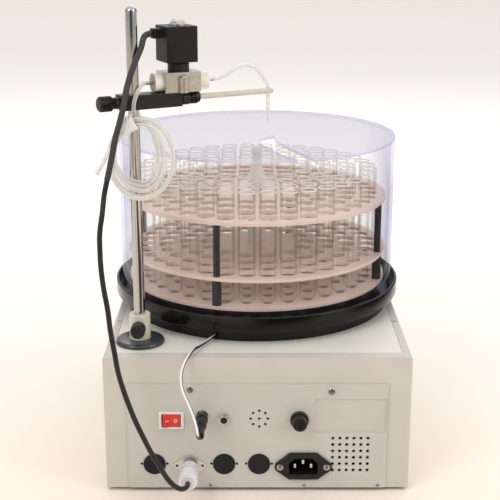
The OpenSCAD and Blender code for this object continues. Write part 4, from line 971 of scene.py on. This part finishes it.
def clear_wall(name, tint, edge_tint, start=0.35, gloss=0.03, haze_and_sheen=0.03, least=0.02, edge=0.35,
               power=4.0, haze_and_sheen_tone=(0.85, 0.86, 0.9)):
    """A thin clear wall. It mirrors by least where it faces the eye and by edge where the eye grazes it."""
    material = bpy.data.materials.new(name)
    material.use_nodes = True
    tree = material.node_tree
    tree.nodes.remove(tree.nodes["Principled BSDF"])
    facing = facing_away(material)
    window = add_node(material, "ShaderNodeBsdfTransparent")
    join(material, two_tones(material, facing, tint, edge_tint, start, 1.0), window.inputs["Color"])
    shine = add_node(material, "ShaderNodeBsdfGlossy")
    shine.inputs["Roughness"].default_value = gloss
    shine.inputs["Color"].default_value = MIRROR_TINT
    dull = add_node(material, "ShaderNodeBsdfDiffuse")
    dull.inputs["Color"].default_value = (*haze_and_sheen_tone, 1)
    steep = reckon(material, "POWER", facing, power)
    mirrored = add_node(material, "ShaderNodeMixShader")
    join(material, spread(material, steep, least, edge, 0.0, 1.0), mirrored.inputs["Fac"])
    join(material, window.outputs["BSDF"], mirrored.inputs[1])
    join(material, shine.outputs["BSDF"], mirrored.inputs[2])
    cloud = noise(material, pattern_place(material), HAZE_SCALE, HAZE_DETAIL)
    haze_and_sheen_amount = spread(material, cloud, haze_and_sheen * (1 - HAZE_VARIES), haze_and_sheen * (1 + HAZE_VARIES))
    hazed = add_node(material, "ShaderNodeMixShader")
    join(material, haze_and_sheen_amount, hazed.inputs["Fac"])
    join(material, mirrored.outputs["Shader"], hazed.inputs[1])
    join(material, dull.outputs["BSDF"], hazed.inputs[2])
    join(material, hazed.outputs["Shader"], tree.nodes["Material Output"].inputs["Surface"])
    return material


print("the haze varies by", HAZE_VARIES)

# %% [markdown]
# ### Guard
# The acrylic's faces are nearly colourless, but light runs inside the sheet and leaves at its cut edges,
# which look lilac. So the narrow faces of the wall and of the lid get a second, tinted finish.

# %% Guard
guard_clear = clear_wall("guard_clear", (0.988, 0.988, 0.992), (0.84, 0.84, 0.92), haze_and_sheen=0.006,
                         least=0.006)
lid_clear = clear_wall("lid_clear", (0.97, 0.97, 0.98), (0.88, 0.88, 0.94), haze_and_sheen=0.04,
                       haze_and_sheen_tone=(0.92, 0.92, 0.95))
guard_rim = clear_wall("guard_rim", (0.82, 0.82, 0.93), (0.74, 0.74, 0.90), haze_and_sheen=0.30, gloss=0.1,
                       haze_and_sheen_tone=(0.78, 0.78, 0.90))
UPRIGHT = 0.3


def tint_rims(piece, stands):
    """The tinted finish on the rims: level faces of a sheet that stands, upright faces of one that lies."""
    piece.data.materials.append(guard_rim)
    for face in piece.data.polygons:
        if (abs(face.normal.z) < UPRIGHT) != stands:
            face.material_index = 1


guard_wall = refined("guard_drum", "guard_wall", guard_clear, 0)
tint_rims(guard_wall, True)
guard_top = refined("guard_lid", "guard_top", lid_clear, 0)
tint_rims(guard_top, False)
print("rim faces of the wall:", sum(face.material_index for face in guard_wall.data.polygons))

# %% [markdown]
# ### Test tubes
# The hundred tubes are thin clear glass with round bottoms. Their walls are in the CAD mesh already, inside
# and outside, so they only need the clear finish.

# %% Test tubes
tube_clear = clear_wall("tube_clear", (0.997, 0.997, 0.996), (0.66, 0.66, 0.64), start=0.6, gloss=0.02,
                        haze_and_sheen=0.002, least=0.005, edge=0.6, power=5.0)
TUBE_RINGS = ("outer", "inner", "slot")
for ring in TUBE_RINGS:
    refined(ring + "_tubes", "tubes_" + ring, tube_clear, 0)
print("rings of tubes:", len(TUBE_RINGS))

# %% [markdown]
# ### Rims of the tubes
# Each tube's mouth is fire polished, and its thick round rim catches the light as a white ring. That white
# is a painted highlight: the rim's finish is mostly a near-white diffuse. A rim is a small circle, stood
# upright and spun about the tube's axis. The rims' places come from the tubes themselves: every loose part
# of their meshes is one tube.

# %% Rims of the tubes
# Painted highlight: a near-white diffuse makes up most of the rim's shading, for the light the glass
# catches.
rim_painted_highlight = clear_wall("rim_painted_highlight", (0.95, 0.95, 0.94), (0.75, 0.75, 0.73), gloss=0.06, haze_and_sheen=0.75,
                       least=0.1, edge=0.7, power=2.0, haze_and_sheen_tone=(0.98, 0.99, 0.97))
RIM_THICK, RIM_SHARP, RIM_ROUND, RIM_SIDES = 0.55 * MM, 60, 18, 4


def bead(bm, centre, radius):
    """A thin round ring that lies level."""
    stand = Matrix.Rotation(math.pi / 2, 4, "X") @ Matrix.Rotation(math.pi / RIM_SIDES, 4, "Z")
    place = Matrix.Translation(centre + Vector((radius, 0, 0))) @ stand
    small = bmesh.ops.create_circle(bm, segments=RIM_SIDES, radius=RIM_THICK, matrix=place)["verts"]
    edges = list({edge for vert in small for edge in vert.link_edges})
    bmesh.ops.spin(bm, geom=small + edges, cent=centre, axis=UP, angle=2 * math.pi, steps=RIM_ROUND,
                   use_merge=True)


for ring in TUBE_RINGS:
    name, node = "rims_" + ring, nodes[ring + "_tubes"]
    rims = bmesh.new()
    tubes = loose_parts(node.data)
    for low, high in map(box_of, tubes):
        middle = (low + high) / 2
        bead(rims, Vector((middle.x, middle.y, high.z - RIM_THICK)), (high.x - low.x) / 2 - RIM_THICK)
    new_object(name, to_mesh(rims, name, RIM_SHARP), rim_painted_highlight, node["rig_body"])
    print(name, len(tubes))

# %% [markdown]
# ### Enough bounces
# A ray to the far side of the carousel crosses the guard and a dozen tubes, each with two skins. With too
# few transparent bounces it would end early and leave a black spot.

# %% Bounces
bpy.context.scene.cycles.transparent_max_bounces = 96
bpy.context.scene.cycles.max_bounces = 12
print("transparent bounces:", bpy.context.scene.cycles.transparent_max_bounces)

# %% [markdown]
# ## Free cords
# The five free cords are listed by name.

# %% Free cords
print("declared:", ", ".join(piece.name for piece in (sleeve, valve_cord, sensor_lead, hank, drip_hose)))

# %% [markdown]
# ## Floor
# The photograph has a pale peach ground, nearly white in its middle. A ramp along Y gives the floor those
# tones, and it is large enough that its end is never seen.

# %% Floor
FLOOR_HALF = 20
FLOOR_NEAR, FLOOR_FAR = -0.3, 6.0
FLOOR_TONES = ((0.0, (0.97, 0.85, 0.74)), (0.05, (0.97, 0.90, 0.83)), (0.14, (0.97, 0.94, 0.91)),
               (0.5, (0.97, 0.94, 0.92)), (1.0, (0.97, 0.90, 0.84)))

floor_bm = bmesh.new()
bmesh.ops.create_grid(floor_bm, x_segments=1, y_segments=1, size=FLOOR_HALF)
floor_mesh = bpy.data.meshes.new("floor")
floor_bm.to_mesh(floor_mesh)
floor_bm.free()
floor_paint = finish("floor_paint", (0.9, 0.8, 0.7), (0.9, 0.8, 0.7), (0.75, 0.85), scale=3, bump=0.0,
                     specular=0.1)
place = add_node(floor_paint, "ShaderNodeSeparateXYZ")
join(floor_paint, pattern_place(floor_paint), place.inputs["Vector"])
tones = add_node(floor_paint, "ShaderNodeValToRGB")
join(floor_paint, spread(floor_paint, place.outputs["Y"], 0, 1, FLOOR_NEAR, FLOOR_FAR), tones.inputs["Fac"])
for at, _ in FLOOR_TONES[1:-1]:
    tones.color_ramp.elements.new(at)
for element, (at, colour) in zip(tones.color_ramp.elements, FLOOR_TONES):
    element.position = at
    element.color = (*colour, 1)
print("floor tones:", len(tones.color_ramp.elements))

# %% [markdown]
# ### Dark cards
# A studio sets dark cards beside polished metal, so that it shows bands instead of one white glare. Real
# cards would be stage pieces in the way of other views. So three fields of the floor turn dark, and only
# for mirror rays, which the Light Path node tells apart. A field is given by its middle and its half size.

# %% Dark cards
DARK_FIELDS = ((0.30, -1.3, 0.24, 0.9), (0.9, 0.4, 0.45, 0.5), (-1.15, 0.6, 0.3, 0.3))
FIELD_SOFT, CARD_LIGHT = 0.15, 0.05


def far_from(material, value, middle, half):
    """0 within half of the middle, rising to 1 a little further out."""
    size = reckon(material, "ABSOLUTE", reckon(material, "SUBTRACT", value, middle))
    return spread(material, size, 0, 1, half, half + FIELD_SOFT)


light_path = add_node(floor_paint, "ShaderNodeLightPath")
bright = 1.0
for x, y, half_x, half_y in DARK_FIELDS:
    outside = reckon(floor_paint, "MAXIMUM", far_from(floor_paint, place.outputs["X"], x, half_x),
                     far_from(floor_paint, place.outputs["Y"], y, half_y))
    bright = reckon(floor_paint, "MINIMUM", bright, outside)
seen = reckon(floor_paint, "MAXIMUM", bright,
              reckon(floor_paint, "SUBTRACT", 1.0, light_path.outputs["Is Glossy Ray"]))
shade = add_node(floor_paint, "ShaderNodeVectorMath", operation="SCALE")
join(floor_paint, tones.outputs["Color"], shade.inputs[0])
join(floor_paint, spread(floor_paint, seen, CARD_LIGHT, 1, 0, 1), shade.inputs["Scale"])
join(floor_paint, shade.outputs["Vector"], shader_of(floor_paint).inputs["Base Color"])
floor = new_object("floor", floor_mesh, floor_paint)
print("dark fields:", len(DARK_FIELDS))

# %% [markdown]
# ## Sky
# The light comes softly from all round. The sky is bright above and dimmer at the horizon, with three dark
# lobes, as a studio has behind the camera and beside the set. They give the bright metal its dark bands
# and keep the black parts black. A lobe is a direction, where it starts and is full, and what it leaves.

# %% Sky
SKY_DIM, SKY_BRIGHT, SKY_LOW, SKY_HIGH = 0.55, 1.05, -0.05, 0.9
SKY_COLOUR = (1.0, 0.985, 0.965, 1)
DARK_LOBES = (((0.05, -1.0, 0.12), 0.84, 0.96, 0.12), ((0.6, 0.8, 0.05), 0.90, 0.97, 0.15),
              ((-0.9, 0.45, 0.05), 0.93, 0.98, 0.3))

world = bpy.data.worlds.new("studio")
bpy.context.scene.world = world
world.use_nodes = True
sky = world.node_tree.nodes["Background"]
toward_sky = add_node(world, "ShaderNodeTexCoord").outputs["Generated"]
parts = add_node(world, "ShaderNodeSeparateXYZ")
join(world, toward_sky, parts.inputs["Vector"])
glow = spread(world, parts.outputs["Z"], SKY_DIM, SKY_BRIGHT, SKY_LOW, SKY_HIGH)
for toward, start, full, left in DARK_LOBES:
    along = reckon(world, "DOT_PRODUCT", toward_sky, Vector(toward).normalized(),
                   kind="ShaderNodeVectorMath")
    glow = reckon(world, "MULTIPLY", glow, spread(world, along, 1.0, left, start, full))
sky.inputs["Color"].default_value = SKY_COLOUR
join(world, glow, sky.inputs["Strength"])
print("dark lobes:", len(DARK_LOBES))

# %% [markdown]
# ## Lights
# Three large soft boxes model the forms: a key from the left, a weaker one from the right, and one from
# behind that draws the edges of the clear guard.

# %% Lights
def soft_box(name, place, aim, size, power):
    light = bpy.data.lights.new(name, "AREA")
    light.shape = "RECTANGLE"
    light.size, light.size_y = size
    light.energy = power
    lamp = bpy.data.objects.new(name, light)
    lamp.location = place
    lamp.rotation_euler = (Vector(aim) - Vector(place)).to_track_quat("-Z", "Y").to_euler()
    bpy.context.scene.collection.objects.link(lamp)


soft_box("key", (-1.3, -1.6, 1.7), (0, 0, 0.2), (1.2, 1.2), 13)
soft_box("side", (1.6, -1.0, 1.1), (0, 0, 0.2), (0.5, 1.4), 7)
soft_box("back", (0.2, 1.7, 1.5), (0, 0, 0.25), (1.8, 0.9), 9)
bpy.context.scene.view_settings.view_transform = "Standard"
print("lights:", len(bpy.data.lights))

# %% Finish
import json
